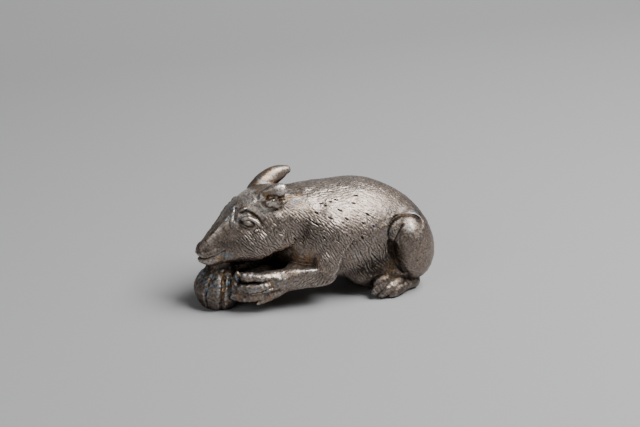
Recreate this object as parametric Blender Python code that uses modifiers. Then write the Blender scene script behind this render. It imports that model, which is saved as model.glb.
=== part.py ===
"""A small solid-cast silver mouse, crouching, that holds a ribbed fruit to its chin with both forepaws.

The whole animal and its fruit are one casting, so it is one object. Sizes are in millimetres in the design frame
(head towards -X, its left side towards -Y, +Z up, floor at z = 0) and are turned into metres at the end.

The form is blocked out from Blender's balls and cones, fused by a voxel remesh, drawn onto the blended form that
form() describes, thinned, and cut flat where it stands."""
import math

import bmesh
import bpy
import numpy as np
from mathutils import Matrix, Vector

# ---- driving sizes, mm -------------------------------------------------------------------------------------------
NAME = "mouse_figurine"
SHIFT_X = 1.8  # puts the origin under the middle of the bounding box
VOXEL = 0.32  # mesh size of the fused blockout
TRIANGLES = 9600

f32 = np.float32

def A(*a):
    """a vector"""
    return np.array(a, f32)

def rot(axis, deg):
    """a turn about x, y or z"""
    a = np.radians(deg); c, s = np.cos(a), np.sin(a)
    i = 'xyz'.index(axis); j, k = (i+1)%3, (i+2)%3
    R = np.eye(3); R[j,j]=c; R[j,k]=-s; R[k,j]=s; R[k,k]=c
    return R.astype(f32)

def ellipsoid(P, c, r, R=None):
    """distance to an ellipsoid: centre, radii, turn"""
    q = P - A(*c)
    if R is not None: q = q @ R
    r = A(*r); a = q/r
    k0 = np.sqrt((a*a).sum(-1)); b = a/r
    return k0*(k0-1)/(np.sqrt((b*b).sum(-1))+f32(1e-6))

def cone(P, a, b, ra, rb):
    """distance to a round-ended cone from a to b"""
    a = A(*a); b = A(*b); ba = b-a; l2 = float(ba@ba); rr = ra-rb
    a2 = l2-rr*rr; il2 = 1/l2
    pa = P-a; y = pa@ba; z = y-l2
    v = pa*f32(l2) - y[:,None]*ba; x2 = (v*v).sum(-1)
    y2 = y*y*l2; z2 = z*z*l2; k = np.sign(rr)*rr*rr*x2
    d = (np.sqrt(np.maximum(x2*a2*il2,0))+y*rr)*il2-ra
    m1 = np.sign(z)*a2*z2 > k; m2 = np.sign(y)*a2*y2 < k
    return np.where(m1, np.sqrt(x2+z2)*il2-rb, np.where(m2, np.sqrt(x2+y2)*il2-ra, d)).astype(f32)

def smin(a, b, k):
    """joins two shapes with a fillet of about k"""
    h = np.maximum(k-np.abs(a-b), 0)/k
    return np.minimum(a, b) - h*h*h*k*f32(1/6)

def smax(a, b, k):
    """cuts one shape by another with a rounded edge of about k"""
    return -smin(-a, -b, k)

def ramp(x, a, b):
    """0 below a, 1 above b, smooth between"""
    t = np.clip((x-a)/(b-a), 0, 1); return (t*t*(3-2*t)).astype(f32)

def curve(pts, n=5):
    """points along a smooth curve through pts, columns of any number"""
    p = np.array(pts, float); p = np.vstack([2*p[0]-p[1], p, 2*p[-1]-p[-2]]); out = []
    for i in range(1, len(p)-2):
        for t in np.arange(n)/n:
            out.append(0.5*(2*p[i]+(p[i+1]-p[i-1])*t+(2*p[i-1]-5*p[i]+4*p[i+1]-p[i+2])*t*t+(3*p[i]-p[i-1]-3*p[i+1]+p[i+2])*t**3))
    return np.array(out+[p[-2]])

def tube(P, pts, k=0.12, n=4):
    """a tube through rows of x, y, z, radius"""
    c = curve(pts, n); d = None
    for p, q in zip(c[:-1], c[1:]):
        ra, rb = max(p[3],0.02), max(q[3],0.02)
        e = cone(P, p[:3], q[:3], ra, rb)
        d = e if d is None else smin(d, e, k)
    return d

def local(P, d, c, r, op):
    """changes d by op only within r of c"""
    m = ((P-A(*c))**2).sum(-1) < r*r
    if m.any(): d[m] = op(P[m], d[m])
    return d

def table(xs, ys):
    """a smooth curve through a table of values that never overshoots them"""
    xs=np.array(xs,float); ys=np.array(ys,float); m=np.gradient(ys,xs); g=np.diff(ys)/np.diff(xs)
    for i in range(1,len(xs)-1):
        if g[i-1]*g[i]<=0: m[i]=0
    X=np.linspace(xs[0],xs[-1],400); i=np.clip(np.searchsorted(xs,X)-1,0,len(xs)-2)
    h=xs[i+1]-xs[i]; t=(X-xs[i])/h
    return X.astype(f32),((2*t**3-3*t**2+1)*ys[i]+(t**3-2*t**2+t)*h*m[i]+(3*t**2-2*t**3)*ys[i+1]+(t**3-t**2)*h*m[i+1]).astype(f32)
# head sections from the nose back: X, top, underside, half width, how much narrower above than below
HEAD = np.array([
 [-22.3,10.8,10.2,0.30,0.10],[-22.0,11.3, 9.2,0.95,0.25],[-21.3,12.2,8.2,1.5,0.33],[-20.0,13.55,7.5,2.3,0.40],
 [-18.4,15.2, 7.9,3.10,0.40],[-17.3,16.5, 8.1,3.60,0.38],[-16.2,17.85,8.1,4.1,0.36],[-14.4,19.15,8.0,5.0,0.33],
 [-12.0,20.15, 8.0,5.90,0.28],[ -9.5,20.3, 8.6,6.20,0.22],[ -6.5,19.7,9.5,6.3,0.15],[ -3.0,18.8,10.5,5.6,0.1],[1.5,16.5,11.5,3.6,0.1],[5,14.5,12.5,1.0,0.1]])
HT = [table(HEAD[:,0],HEAD[:,i]) for i in range(1,5)]

def head_raw(P):
    """the head as a loft of rounded sections"""
    x=P[:,0]; top,bot,w,a=(np.interp(x,*t).astype(f32) for t in HT)
    hh=np.maximum((top-bot)/2,0.05); t=(P[:,2]-(top+bot)/2)/hh
    ww=np.maximum(w*(1-a*np.clip(t,-1.3,1.3)),0.05); n=2.4
    r=(np.abs(P[:,1]/ww)**n+np.abs(t)**n)**(1/n)
    return (r-1)*np.minimum(hh,ww)+np.maximum(np.maximum(HEAD[0,0]-x,x-HEAD[-1,0]),0)

def head(P):
    """the head, scaled to a true distance"""
    e=f32(0.05); f=head_raw(P); g=0
    for i in range(3):
        D=np.zeros(3,f32); D[i]=e; g=g+((head_raw(P+D)-f)/e)**2
    f = (f/np.sqrt(np.maximum(g,0.25))).astype(f32)
    # the flat bridge of the muzzle, with an edge at each side
    top = np.interp(P[:,0],*HT[0]).astype(f32)
    flat = (P[:,2]-(top-0.12))*0.75
    return np.where(P[:,0] < -15.5, smax(f, flat - 0.6*ramp(P[:,0],-17.5,-15.5), 0.12), f)

def edge(P, pts, n=4):
    """signed distance in the side view from a line of x, z points, positive on its left, and how far along, 0 to 1"""
    c = curve(pts, n).astype(f32); L = np.r_[0, np.cumsum(np.hypot(*np.diff(c,axis=0).T))]; L /= L[-1]
    q = P[:,[0,2]]; best = np.full(len(P), 1e9, f32); s = np.zeros(len(P), f32); t = np.zeros(len(P), f32)
    for i in range(len(c)-1):
        v = c[i+1]-c[i]; w = q-c[i]; h = np.clip(w@v/(v@v), 0, 1); r = w-h[:,None]*v
        d2 = (r*r).sum(1); m = d2 < best
        side = np.sign(v[0]*w[:,1]-v[1]*w[:,0])
        best = np.where(m, d2, best); s = np.where(m, side*np.sqrt(d2), s); t = np.where(m, L[i]+h*(L[i+1]-L[i]), t)
    return s.astype(f32), t.astype(f32)

def step(P, d, pts, depth, fade, sharp=0.2, ends=0.15, out=2.0, soft=0):
    """sinks the side to the left of a line, with a crisp edge at the line that fades away from it"""
    c = np.array(pts, float); mid = (c.min(0)+c.max(0))/2; r = np.hypot(*(c.max(0)-c.min(0)))/2+3*fade+1
    m = (np.hypot(P[:,0]-mid[0], P[:,2]-mid[1]) < r) & (P[:,1] < -out) & (np.abs(d) < 3)
    if m.any():
        s, t = edge(P[m], pts)
        w = sharp+soft*(1-ramp(t, 0, 0.6))
        e = np.clip(s/w+0.5, 0, 1); e = e*e*(3-2*e)
        e = e*np.exp(-np.maximum(s,0)/fade)*ramp(t, 0, ends)*(1-ramp(t, 1-ends, 1))
        d[m] += depth*e*ramp(-P[m,1], out, out+1)
    return d

def groove(P, d, pts, depth, width, ends=0.15, out=0.5):
    """a rounded channel along a line of x, z points"""
    c = np.array(pts, float); mid = (c.min(0)+c.max(0))/2; r = np.hypot(*(c.max(0)-c.min(0)))/2+3*width+0.2
    m = (np.hypot(P[:,0]-mid[0], P[:,2]-mid[1]) < r) & (P[:,1] < -out) & (np.abs(d) < 2)
    if m.any():
        s, t = edge(P[m], pts)
        d[m] += depth*np.exp(-(s/width)**2)*ramp(t, 0, ends)*(1-ramp(t, 1-ends, 1))*ramp(-P[m,1], out, out+0.5)
    return d

def eye(P, d):
    """a hollow with the ball and the heavy upper lid in it"""
    def op(p, e):
        x, z = p[:,0], p[:,2]
        e = e + 0.45*np.exp(-((x+14.1)/1.7)**2-((z-15.9)/1.2)**2)
        e = smin(e, ellipsoid(p, (-14.2,-3.6,15.75), (1.3,1.0,0.85)), 0.15)
        e = smin(e, tube(p, [(-15.4,-3.3,16.3,.2),(-14.8,-3.6,16.65,.36),(-14.1,-3.9,16.8,.4),(-13.4,-4.35,16.5,.4),(-12.7,-4.9,15.8,.36),(-12.3,-5.2,15.2,.2)]), 0.2)
        return smin(e, tube(p, [(-16.0,-1.85,17.2,.2),(-15.4,-2.1,17.55,.35),(-14.5,-2.6,17.9,.35),(-13.4,-3.4,17.9,.2)]), 0.6)
    return local(P, d, (-14.4,-4.0,16.4), 4.2, op)

def muzzle(P, d):
    """the nose pad, and the lip line with the lower jaw set back under it"""
    def op(p, e):
        e = smin(e, ellipsoid(p, (-21.35,0,10.6), (0.9,1.25,0.95)), 0.7)
        mouth = [(-18.2,11.2),(-19.1,10.6),(-19.8,10.15),(-20.7,9.65),(-21.3,9.3),(-22.0,9.1),(-22.8,9.0)]
        e = step(p, e, mouth, 0.25, 1.6, 0.35, 0.12, -1.5)
        s, t = edge(p, mouth)
        return e + 0.4*np.exp(-(s/0.3)**2)*ramp(t, 0.1, 0.7)
    return local(P, d, (-20.5,0,10.5), 4.0, op)

def body(P):
    """shoulders, barrel and rump, hollowed out under the belly"""
    t = ellipsoid(P, (-1.0,0.3,11.3), (8.5,8.0,8.3))
    t = smin(t, ellipsoid(P, (5.0,0.2,10.8), (11.5,8.9,8.9)), 2.5)
    t = smin(t, ellipsoid(P, (11.0,0,7.4), (8.8,8.6,9.4)), 2.2)
    return smax(t, 3.1-3.1*ramp(P[:,0],3.0,8.5)-P[:,2], 1.2)

def fruit(P, ribs=9):
    """the ribbed fruit, and its neck up to the chin"""
    v = P - A(-18.8,-0.25,2.95); q = v@rot('y',15)
    # the lower half is fuller, down to the broad flat it stands on
    d = ellipsoid(q*np.where(q[:,2:]<0, A(1,1,0.92), A(1,1,1)), (0,0,0), (4.1,4.45,3.85))
    z = v[:,2]; x = v[:,0]-0.2*np.maximum(z,0)  # the ribs lean back towards the neck
    th = np.arctan2(v[:,1],x); rr = np.hypot(x,v[:,1])
    g = np.abs(np.sin(th*ribs/2+1.45))
    on = ramp(rr,0.8,2.4)*(1-ramp(z,2.8,4.2))*(0.4+0.6*ramp(z,-2.6,-0.6))
    front = ramp(-th,2.44,2.7)*(1-ramp(z,0.5,2.0))
    d = d + 0.32*np.exp(-(g/0.26)**2)*on*(1-0.85*front)
    d = d + 0.26*(1-ramp(np.abs(th+1.72)*rr,0.30,0.60))*on
    return smin(d, cone(P, (-18.3,-0.1,4.8), (-18.3,-0.1,8.3), 2.9, 1.9), 1.3)

def arms(P, d):
    """the upper arm, and the forearm with its flat top"""
    up = cone(P, (0.4,-4.5,12.6), (-1.1,-7.0,7.5), 4.2, 2.6)
    d = smin(d, up, 0.5+3.2*ramp(P[:,2],8.5,14))
    S = A(1,0.9,1); a,b = A(-2.0,-6.6,6.0)*S, A(-11.2,-5.2,5.2)*S
    fo = cone(P*S, a, b, 2.55, 2.35); x = P[:,0]
    fo = smax(fo, P[:,2]-(7.15+0.35*np.exp(-((x+6.5)/4)**2)), 0.35)
    fo = smax(fo, -(P[:,1]+8.4), 0.5)
    # towards the wrist the top slopes down to the inner side
    fo = smax(fo, (P[:,2]-7.3+0.8*(P[:,1]+5.8))*0.78 - 4*(1-ramp(-x,4,9)), 0.4)
    fo = smax(fo, P[:,1]+2.15, 0.8)
    fo = smax(fo, 3.0-P[:,2]+0.12*(x+8), 1.5)
    return smin(d, fo, 0.5)

def paw(P, d):
    """the palm, the digits round the fruit, and the claw"""
    m = ellipsoid(P, (-13.0,-4.9,4.3), (4.1,2.1,2.3))
    m = smin(m, tube(P, [(-9.9,-6.7,6.0,.95),(-11.4,-6.8,6.25,.84),(-12.6,-6.6,6.35,.95),(-13.8,-6.2,6.45,.84),(-15.0,-5.7,6.5,.92),(-16.0,-5.1,6.6,.7)]), 0.3)
    m = smin(m, tube(P, [(-10.4,-6.9,4.95,.9),(-12.6,-6.95,4.85,1.05),(-14.6,-6.35,4.7,1.05),(-16.1,-5.5,4.75,.8)]), 0.25)
    m = smin(m, tube(P, [(-11.2,-6.7,3.9,.8),(-13.4,-6.3,3.2,.95),(-15.6,-5.5,2.9,.95),(-17.3,-4.6,2.95,.75)]), 0.3)
    m = smin(m, tube(P, [(-9.0,-6.9,4.2,.9),(-11.5,-6.9,3.1,.8),(-13.7,-6.6,1.8,.25)]), 0.3)
    m = smin(m, ellipsoid(P, (-17.1,-3.9,4.3), (0.8,1.0,1.7)), 0.3)
    m = smin(m, tube(P, [(-16.75,-4.95,7.1,.48),(-17.0,-5.05,6.3,.48),(-16.95,-5.05,5.3,.42),(-16.85,-5.0,4.6,.3)]), 0.06)
    m = groove(P, m, [(-16.3,5.6),(-15.0,5.72),(-13.3,5.85),(-12.1,6.1),(-10.6,6.3)], 0.3, 0.16, 0.2)
    m = groove(P, m, [(-15.3,3.9),(-13.9,4.25),(-12.9,4.55),(-11.9,4.85),(-10.6,5.2)], 0.32, 0.16, 0.2)
    return smin(d, m, 0.35)

def hind(P, d):
    """the hind leg, folded, with the foot under it"""
    # the hollow in front of the thigh, then the knee fold and the thigh
    d = smin(d, ellipsoid(P,(6.7,-3.9,5.0),(3.6,3.8,3.6)), 1.0)
    d = smax(d, -tube(P, [(9.3,-9.9,11.6,.4),(9.2,-9.7,10.4,.9),(9.4,-9.5,8.8,1.3),(10.2,-9.4,7.0,1.4),(11.6,-9.2,5.4,1.0)]), 1.0)
    d = smax(d, -tube(P, [(10.1,-8.4,11.2,.25),(10.15,-8.35,10.4,.75),(10.45,-8.3,9.3,.95),(10.8,-8.3,8.2,1.0),(11.4,-8.3,6.9,1.0),(12.1,-8.2,5.8,.95),(13.1,-7.9,4.6,.7)]), 0.7)
    d = smax(d, -tube(P, [(4.3,-8.7,7.0,.7),(6.8,-9.05,6.1,1.35),(9.3,-9.2,5.8,1.65),(11.6,-9.0,5.3,1.3)]), 1.0)
    d = smin(d, tube(P, [(10.6,-7.35,11.3,1.0),(10.9,-7.0,12.1,1.3),(11.4,-6.6,12.6,1.4),(12.0,-6.25,12.95,1.25),(12.8,-5.75,13.05,.9)]), 0.4)
    d = smin(d, ellipsoid(P, (14.7,-5.3,8.3), (4.2,4.2,6.3), rot('y',-13)), 0.3+3.2*ramp(P[:,0],12.5,17)+0.9*ramp(P[:,2],11.0,12.5))
    d = step(P, d, [(14.8,2.8),(13.5,4.2),(12.1,6.3),(11.1,8.4),(10.6,10.2),(10.5,11.2)], 0.15, 0.7, 0.6, 0.2, 6.0)
    d = groove(P, d, [(10.6,10.4),(11.25,11.5),(12.0,12.6),(12.75,13.4)], 0.28, 0.2, 0.2, 6.0)
    # foot
    f = cone(P, (15.4,-5.6,1.3), (10.9,-6.6,1.9), 1.3, 1.95)
    for toe in ([(11.2,-6.9,3.3,.8),(9.6,-7.4,3.35,.95),(8.3,-7.6,3.05,.85),(7.7,-7.65,2.7,.6)],
                [(10.6,-7.3,2.9,.9),(8.9,-7.75,2.5,.98),(7.8,-7.95,1.9,.85),(7.2,-7.95,1.3,.6)],
                [(12.0,-7.3,2.4,1.0),(10.2,-7.95,1.85,1.12),(9.0,-8.2,1.3,.95),(8.4,-8.25,.8,.65)],
                [(13.6,-6.9,1.6,1.0),(12.0,-7.7,1.4,1.15),(10.7,-8.2,1.1,1.05),(10.0,-8.3,.75,.7)]):
        f = smin(f, tube(P, toe, 0.1, 2), 0.22)
    return smin(d, f, 0.4)

def ears(P, d):
    """the short cupped left ear and the long right one"""
    def left(p, e):
        a = A(0.80,-0.25,0.50); a /= np.linalg.norm(a)
        n = A(-0.25,-0.9,0.33); n -= a*(a@n); n /= np.linalg.norm(n)
        w = np.cross(a, n).astype(f32); R = np.stack([a,w,n], 1); c = A(-9.8,-4.4,20.1)
        e = smin(e, ellipsoid(p, c, (2.9,2.1,1.35), R), 0.6)
        e = smax(e, -ellipsoid(p, c+n*1.3+a*0.5-w*0.1, (1.9,1.15,1.15), R), 0.3)
        return smin(e, tube(p, [(-12.3,-4.0,20.2,.3),(-11.8,-4.3,20.9,.6),(-10.7,-4.7,21.6,.75),(-9.5,-5.1,21.85,.8),(-8.6,-5.4,21.6,.78)]), 0.2)
    d = local(P, d, (-9.8,-4.9,20.2), 4.5, left)
    def right(p, e):
        f = tube(p, [(-11.0,2.9,18.7,1.35),(-9.0,4.0,19.95,1.3),(-6.6,4.7,20.8,1.15),(-4.4,5.0,21.0,.7)], 0.4)
        f = smin(f, tube(p, [(-9.9,3.2,19.4,1.1),(-7.6,4.0,19.9,1.15),(-5.4,4.6,20.45,.75)], 0.3), 0.6)
        return smin(e, f, 0.5)
    return local(P, d, (-8,4,20.2), 5.5, right)

def tail(P, d):
    """a slim tail from the middle of the rump, laid round the right thigh"""
    t = tube(P, [(18.0,0.4,6.1,1.3),(18.7,2.6,4.3,1.05),(18.1,5.2,3.0,.9),(16.5,7.4,2.2,.8),(14.2,8.7,1.7,.7),(11.8,9.0,1.4,.55),(10.0,8.9,1.2,.35)], 0.3, 3)
    return smin(d, t, 0.45+1.1*(1-ramp(P[:,1],0.6,3.0)))

def base(P):
    """everything but the ears, tail and fruit"""
    z = P[:,2]
    d = smin(body(P), head(P), 0.4+2.6*ramp(z,11.5,16))
    # both sides at once, folded onto the near side; the far forepaw closes in on the fruit
    y = P[:,1]+1.0*ramp(P[:,1],0.5,3)*(1-ramp(P[:,0],-15,-9))
    Q = np.stack([P[:,0], -np.abs(y), P[:,2]], 1)
    Q = np.ascontiguousarray(Q, f32)
    d = step(Q, d, [(-7.2,16.8),(-7.4,15.5),(-7.8,14.3),(-8.5,13.0),(-9.5,11.6),(-10.3,10.8),(-11.2,10.1),(-12.2,9.6),(-13.3,9.3)], 0.8, 2.2, 0.2, 0.3, soft=3.0)
    S = np.stack([P[:,0], -np.abs(P[:,1]), P[:,2]], 1)
    d = eye(S, d); d = muzzle(S, d)
    d = arms(Q, d)
    # the web of metal between the forelegs
    d = smin(d, np.maximum(np.maximum(np.abs(P[:,0]+7.2)-6.3, np.abs(P[:,1])-4.2), np.abs(P[:,2]-3.9)-0.6), 0.8)
    d = step(Q, d, [(3.2,12.4),(2.6,11.5),(1.5,10.3),(0.7,8.9),(-0.1,7.3),(-1.0,5.8)], 0.7, 1.8)
    d = step(Q, d, [(-5.4,10.0),(-5.1,11.8),(-4.5,13.8),(-4.0,15.7)], 0.5, 1.4, 0.7, 0.4)
    d = paw(Q, d); d = hind(Q, d)
    d = groove(Q, d, [(9.6,11.0),(9.6,12.2),(10.05,13.2),(11.0,14.0),(12.1,14.35),(13.2,14.4),(14.2,14.25),(15.2,13.9),(15.9,13.4),(16.4,12.8)], 0.3, 0.18, 0.12, 6.0)
    return d

def form(P):
    """the whole figurine: distance to its surface, below 0 inside"""
    d = base(P)
    d = ears(P, d)
    d = tail(P, d)
    d = smin(d, fruit(P), 0.3)
    return d

# ---- the Blender side --------------------------------------------------------------------------------------------
MM = 0.001


def add_ball(bm, centre, radii, turn=None):
    """A UV sphere stretched to an ellipsoid."""
    m = Matrix.Diagonal((radii[0], radii[1], radii[2], 1.0))
    if turn is not None:
        m = Matrix([[float(v) for v in row] for row in turn]).to_4x4() @ m
    bmesh.ops.create_uvsphere(bm, u_segments=32, v_segments=20, radius=1.0, matrix=Matrix.Translation(centre) @ m)


def add_rod(bm, rows):
    """Balls and cones along a bent, tapering limb: rows of x, y, z, radius."""
    for p, q in zip(rows[:-1], rows[1:]):
        a, b = Vector(p[:3]), Vector(q[:3])
        axis = b - a
        m = Matrix.Translation((a + b) / 2) @ axis.to_track_quat("Z", "Y").to_matrix().to_4x4()
        bmesh.ops.create_cone(bm, cap_ends=True, segments=20, radius1=p[3], radius2=q[3], depth=axis.length, matrix=m)
        add_ball(bm, a, (p[3],) * 3)
    add_ball(bm, Vector(rows[-1][:3]), (rows[-1][3],) * 3)


def blockout():
    bm = bmesh.new()
    for centre, radii in (((-1, 0.3, 11.3), (8.5, 8, 8.3)), ((5, 0.2, 10.8), (11.5, 8.9, 8.9)), ((11, 0, 7.4), (8.8, 8.6, 9.4))):
        add_ball(bm, centre, radii)
    for x, top, low, half, taper in HEAD[1:-1]:
        add_ball(bm, (x, 0, (top + low) / 2), (max(0.9, half * 0.45), half * 0.96, (top - low) / 2 * 0.98))
    add_rod(bm, [(-18.8, -0.25, 2.95, 3.7), (-18.3, -0.15, 4.8, 2.7), (-18.1, -0.1, 8.0, 1.7)])
    add_ball(bm, (-7.2, 0, 3.9), (6.4, 4.4, 0.9))
    for s in (1, -1):
        def rod(*rows):
            add_rod(bm, [(x, s * y, z, r) for x, y, z, r in rows])
        rod((0.4, -4.5, 12.6, 4.2), (-1.1, -7.0, 7.5, 2.6))
        rod((-2.0, -6.0, 5.6, 2.1), (-11.2, -5.0, 5.1, 2.1))
        rod((-2.0, -4.6, 5.6, 1.9), (-11.2, -4.3, 5.1, 1.9))
        add_ball(bm, (-13.0, s * -4.9, 4.4), (4.0, 2.0, 2.3))
        add_ball(bm, (-17.1, s * -3.8, 4.3), (0.9, 1.0, 1.6))
        rod((-9.9, -6.7, 6.0, 0.9), (-12.6, -6.6, 6.35, 0.9), (-15.0, -5.7, 6.5, 0.85), (-16.0, -5.1, 6.6, 0.65))
        rod((-16.8, -4.95, 7.0, 0.45), (-17.0, -5.05, 6.2, 0.45), (-16.85, -5.0, 4.7, 0.35))
        rod((-10.4, -6.9, 4.9, 0.85), (-12.6, -6.9, 4.85, 1.0), (-14.6, -6.3, 4.7, 1.0), (-16.1, -5.4, 4.7, 0.75))
        rod((-11.2, -6.7, 3.9, 0.8), (-13.4, -6.3, 3.2, 0.9), (-15.6, -5.5, 2.9, 0.9), (-17.2, -4.6, 2.95, 0.7))
        rod((-9.0, -6.9, 4.2, 0.9), (-11.5, -6.9, 3.1, 0.8), (-13.6, -6.6, 1.9, 0.3))
        add_ball(bm, (6.7, s * -3.9, 5.0), (3.6, 3.8, 3.6))
        add_ball(bm, (14.7, s * -5.3, 8.3), (4.2, 4.2, 6.3), rot("y", -13))
        rod((10.6, -7.4, 11.3, 0.9), (10.9, -7.0, 12.1, 1.2), (11.4, -6.6, 12.6, 1.3), (12.0, -6.2, 12.9, 1.2), (12.8, -5.7, 13.05, 0.8))
        rod((15.4, -5.6, 1.3, 1.3), (10.9, -6.9, 1.9, 2.0))
        for x, y, z, r in ((8.3, -7.6, 3.0, 0.85), (7.8, -7.9, 1.9, 0.85), (9.0, -8.1, 1.3, 0.95), (10.7, -8.1, 1.1, 1.0)):
            rod((x + 1.9, y + 0.8, z + 0.5, r + 0.15), (x, y, z, r))
        rod((11.5, -6.6, 3.3, 0.9), (8.3, -7.0, 4.3, 0.8))
    add_rod(bm, [(-11.4, 2.9, 18.8, 1.5), (-9.0, 4.0, 20.0, 1.35), (-6.6, 4.7, 20.8, 1.15), (-4.4, 5.0, 21.0, 0.7)])
    add_rod(bm, [(-9.9, 3.2, 19.4, 1.1), (-7.6, 4.0, 19.9, 1.1), (-5.4, 4.6, 20.4, 0.7)])
    a = Vector((0.80, -0.25, 0.50)).normalized()
    n = Vector((-0.25, -0.9, 0.33))
    n = (n - a * a.dot(n)).normalized()
    w = a.cross(n)
    add_ball(bm, (-9.8, -4.4, 20.1), (2.9, 2.1, 1.3), [[a[i], w[i], n[i]] for i in range(3)])
    add_rod(bm, [(-11.8, -4.3, 20.9, 0.55), (-10.7, -4.7, 21.6, 0.68), (-9.5, -5.1, 21.85, 0.78), (-8.6, -5.4, 21.6, 0.78)])
    add_rod(bm, [(18.0, 0.4, 6.1, 1.2), (18.7, 2.6, 4.3, 1.0), (18.1, 5.2, 3.0, 0.9), (16.5, 7.4, 2.2, 0.8), (14.2, 8.7, 1.7, 0.7), (11.8, 9.0, 1.4, 0.55), (10.0, 8.9, 1.2, 0.35)])
    mesh = bpy.data.meshes.new("blockout")
    bm.to_mesh(mesh)
    bm.free()
    return mesh


def evaluated(obj):
    """The object's mesh with its modifiers applied."""
    graph = bpy.context.evaluated_depsgraph_get()
    return bpy.data.meshes.new_from_object(obj.evaluated_get(graph))


def drawn_onto_form(mesh, rounds=8):
    """Moves every vertex onto the form, and evens the mesh along the surface as it goes."""
    n = len(mesh.vertices)
    p = np.empty(n * 3, np.float32)
    mesh.vertices.foreach_get("co", p)
    p = p.reshape(-1, 3)
    e = np.empty(len(mesh.edges) * 2, np.int32)
    mesh.edges.foreach_get("vertices", e)
    e = e.reshape(-1, 2)
    count = np.bincount(e.ravel(), minlength=n).astype(np.float32)[:, None]
    step = np.float32(0.02)
    for k in range(rounds):
        for _ in range(3):
            f = form(p)
            g = np.stack([(form(p + step * axis) - f) / step for axis in np.eye(3, dtype=np.float32)], 1)
            g2 = np.maximum((g * g).sum(1), 0.2)
            move = -(f / g2)[:, None] * g
            size = np.sqrt((move * move).sum(1))[:, None]
            p = p + move * np.minimum(1, 0.5 / np.maximum(size, 1e-9))
        if k < rounds - 1:
            mean = np.zeros_like(p)
            np.add.at(mean, e[:, 0], p[e[:, 1]])
            np.add.at(mean, e[:, 1], p[e[:, 0]])
            lift = mean / count - p
            g /= np.sqrt((g * g).sum(1))[:, None] + 1e-9
            lift -= (lift * g).sum(1)[:, None] * g
            p = p + 0.5 * lift
    mesh.vertices.foreach_set("co", p.astype(np.float32).ravel())
    mesh.update()


def main():
    for obj in list(bpy.data.objects):
        bpy.data.objects.remove(obj, do_unlink=True)
    collection = bpy.data.collections.new(NAME)
    bpy.context.scene.collection.children.link(collection)
    silver = bpy.data.materials.new("tarnished_silver")
    silver.use_nodes = True
    shader = silver.node_tree.nodes["Principled BSDF"]
    shader.inputs["Base Color"].default_value = (0.20, 0.175, 0.155, 1)
    shader.inputs["Metallic"].default_value = 0.9
    shader.inputs["Roughness"].default_value = 0.38

    rough = bpy.data.objects.new("rough", blockout())
    collection.objects.link(rough)
    remesh = rough.modifiers.new("fuse", "REMESH")
    remesh.mode = "VOXEL"
    remesh.voxel_size = VOXEL
    remesh.adaptivity = 0.0
    mesh = evaluated(rough)
    bpy.data.objects.remove(rough, do_unlink=True)
    drawn_onto_form(mesh)

    figure = bpy.data.objects.new("figure", mesh)
    collection.objects.link(figure)
    tri = figure.modifiers.new("triangles", "TRIANGULATE")
    thin = figure.modifiers.new("thin", "DECIMATE")
    thin.ratio = TRIANGLES / (2.0 * len(mesh.polygons))
    mesh = evaluated(figure)
    bpy.data.objects.remove(figure, do_unlink=True)

    # cut flat where it stands, and moved to the part's own frame in metres
    bm = bmesh.new()
    bm.from_mesh(mesh)
    geom = bm.verts[:] + bm.edges[:] + bm.faces[:]
    bmesh.ops.bisect_plane(bm, geom=geom, dist=1e-4, plane_co=(0, 0, 0), plane_no=(0, 0, 1), clear_inner=True)
    bmesh.ops.holes_fill(bm, edges=[edge for edge in bm.edges if edge.is_boundary], sides=0)
    bmesh.ops.triangulate(bm, faces=bm.faces[:])
    bmesh.ops.recalc_face_normals(bm, faces=bm.faces[:])
    bmesh.ops.transform(bm, matrix=Matrix.Scale(MM, 4) @ Matrix.Translation((SHIFT_X, 0, 0)), verts=bm.verts[:])
    final = bpy.data.meshes.new(NAME)
    bm.to_mesh(final)
    bm.free()
    final.materials.append(silver)
    final.shade_smooth()
    final.set_sharp_from_angle(angle=math.radians(50))
    obj = bpy.data.objects.new(NAME, final)
    collection.objects.link(obj)


main()
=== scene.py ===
"""The looks of the silver mouse: one finely chased mesh over the CAD solid, its tarnished silver with painted shade
and painted highlights in its colour, a pale floor and soft studio light.

Sizes are millimetres in the mouse's own frame (nose -X, left side -Y, +Z up, floor at z = 0) until the mesh is moved
to the row frame in metres, SHIFT_X to the right."""
import math

import bpy
import numpy as np
from mathutils import Matrix, Vector, kdtree


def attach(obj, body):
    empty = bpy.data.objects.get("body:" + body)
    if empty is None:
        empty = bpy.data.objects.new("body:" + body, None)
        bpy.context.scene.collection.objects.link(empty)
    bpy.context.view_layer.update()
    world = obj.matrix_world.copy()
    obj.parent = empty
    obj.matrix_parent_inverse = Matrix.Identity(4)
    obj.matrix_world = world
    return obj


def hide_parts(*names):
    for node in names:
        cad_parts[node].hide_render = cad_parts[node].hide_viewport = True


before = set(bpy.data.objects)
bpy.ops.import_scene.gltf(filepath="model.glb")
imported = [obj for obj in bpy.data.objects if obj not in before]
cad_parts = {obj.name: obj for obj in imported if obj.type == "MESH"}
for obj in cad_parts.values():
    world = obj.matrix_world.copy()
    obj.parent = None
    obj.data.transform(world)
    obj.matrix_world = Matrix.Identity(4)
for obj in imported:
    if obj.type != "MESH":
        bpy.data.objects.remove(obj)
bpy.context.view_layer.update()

MM = 0.001
SHIFT_X = 1.8
FINE = 0.135  # spacing of the grid the form is sampled on
MOST = 198000  # triangles in the finished piece
rng = np.random.default_rng(11)

# ---- the form: distance-like functions over points in rows of x, y, z ---------------------------------------------
f32 = np.float32

def A(*a):
    """a vector"""
    return np.array(a, f32)

def rot(axis, deg):
    """a turn about x, y or z"""
    a = np.radians(deg); c, s = np.cos(a), np.sin(a)
    i = 'xyz'.index(axis); j, k = (i+1)%3, (i+2)%3
    R = np.eye(3); R[j,j]=c; R[j,k]=-s; R[k,j]=s; R[k,k]=c
    return R.astype(f32)

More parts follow.
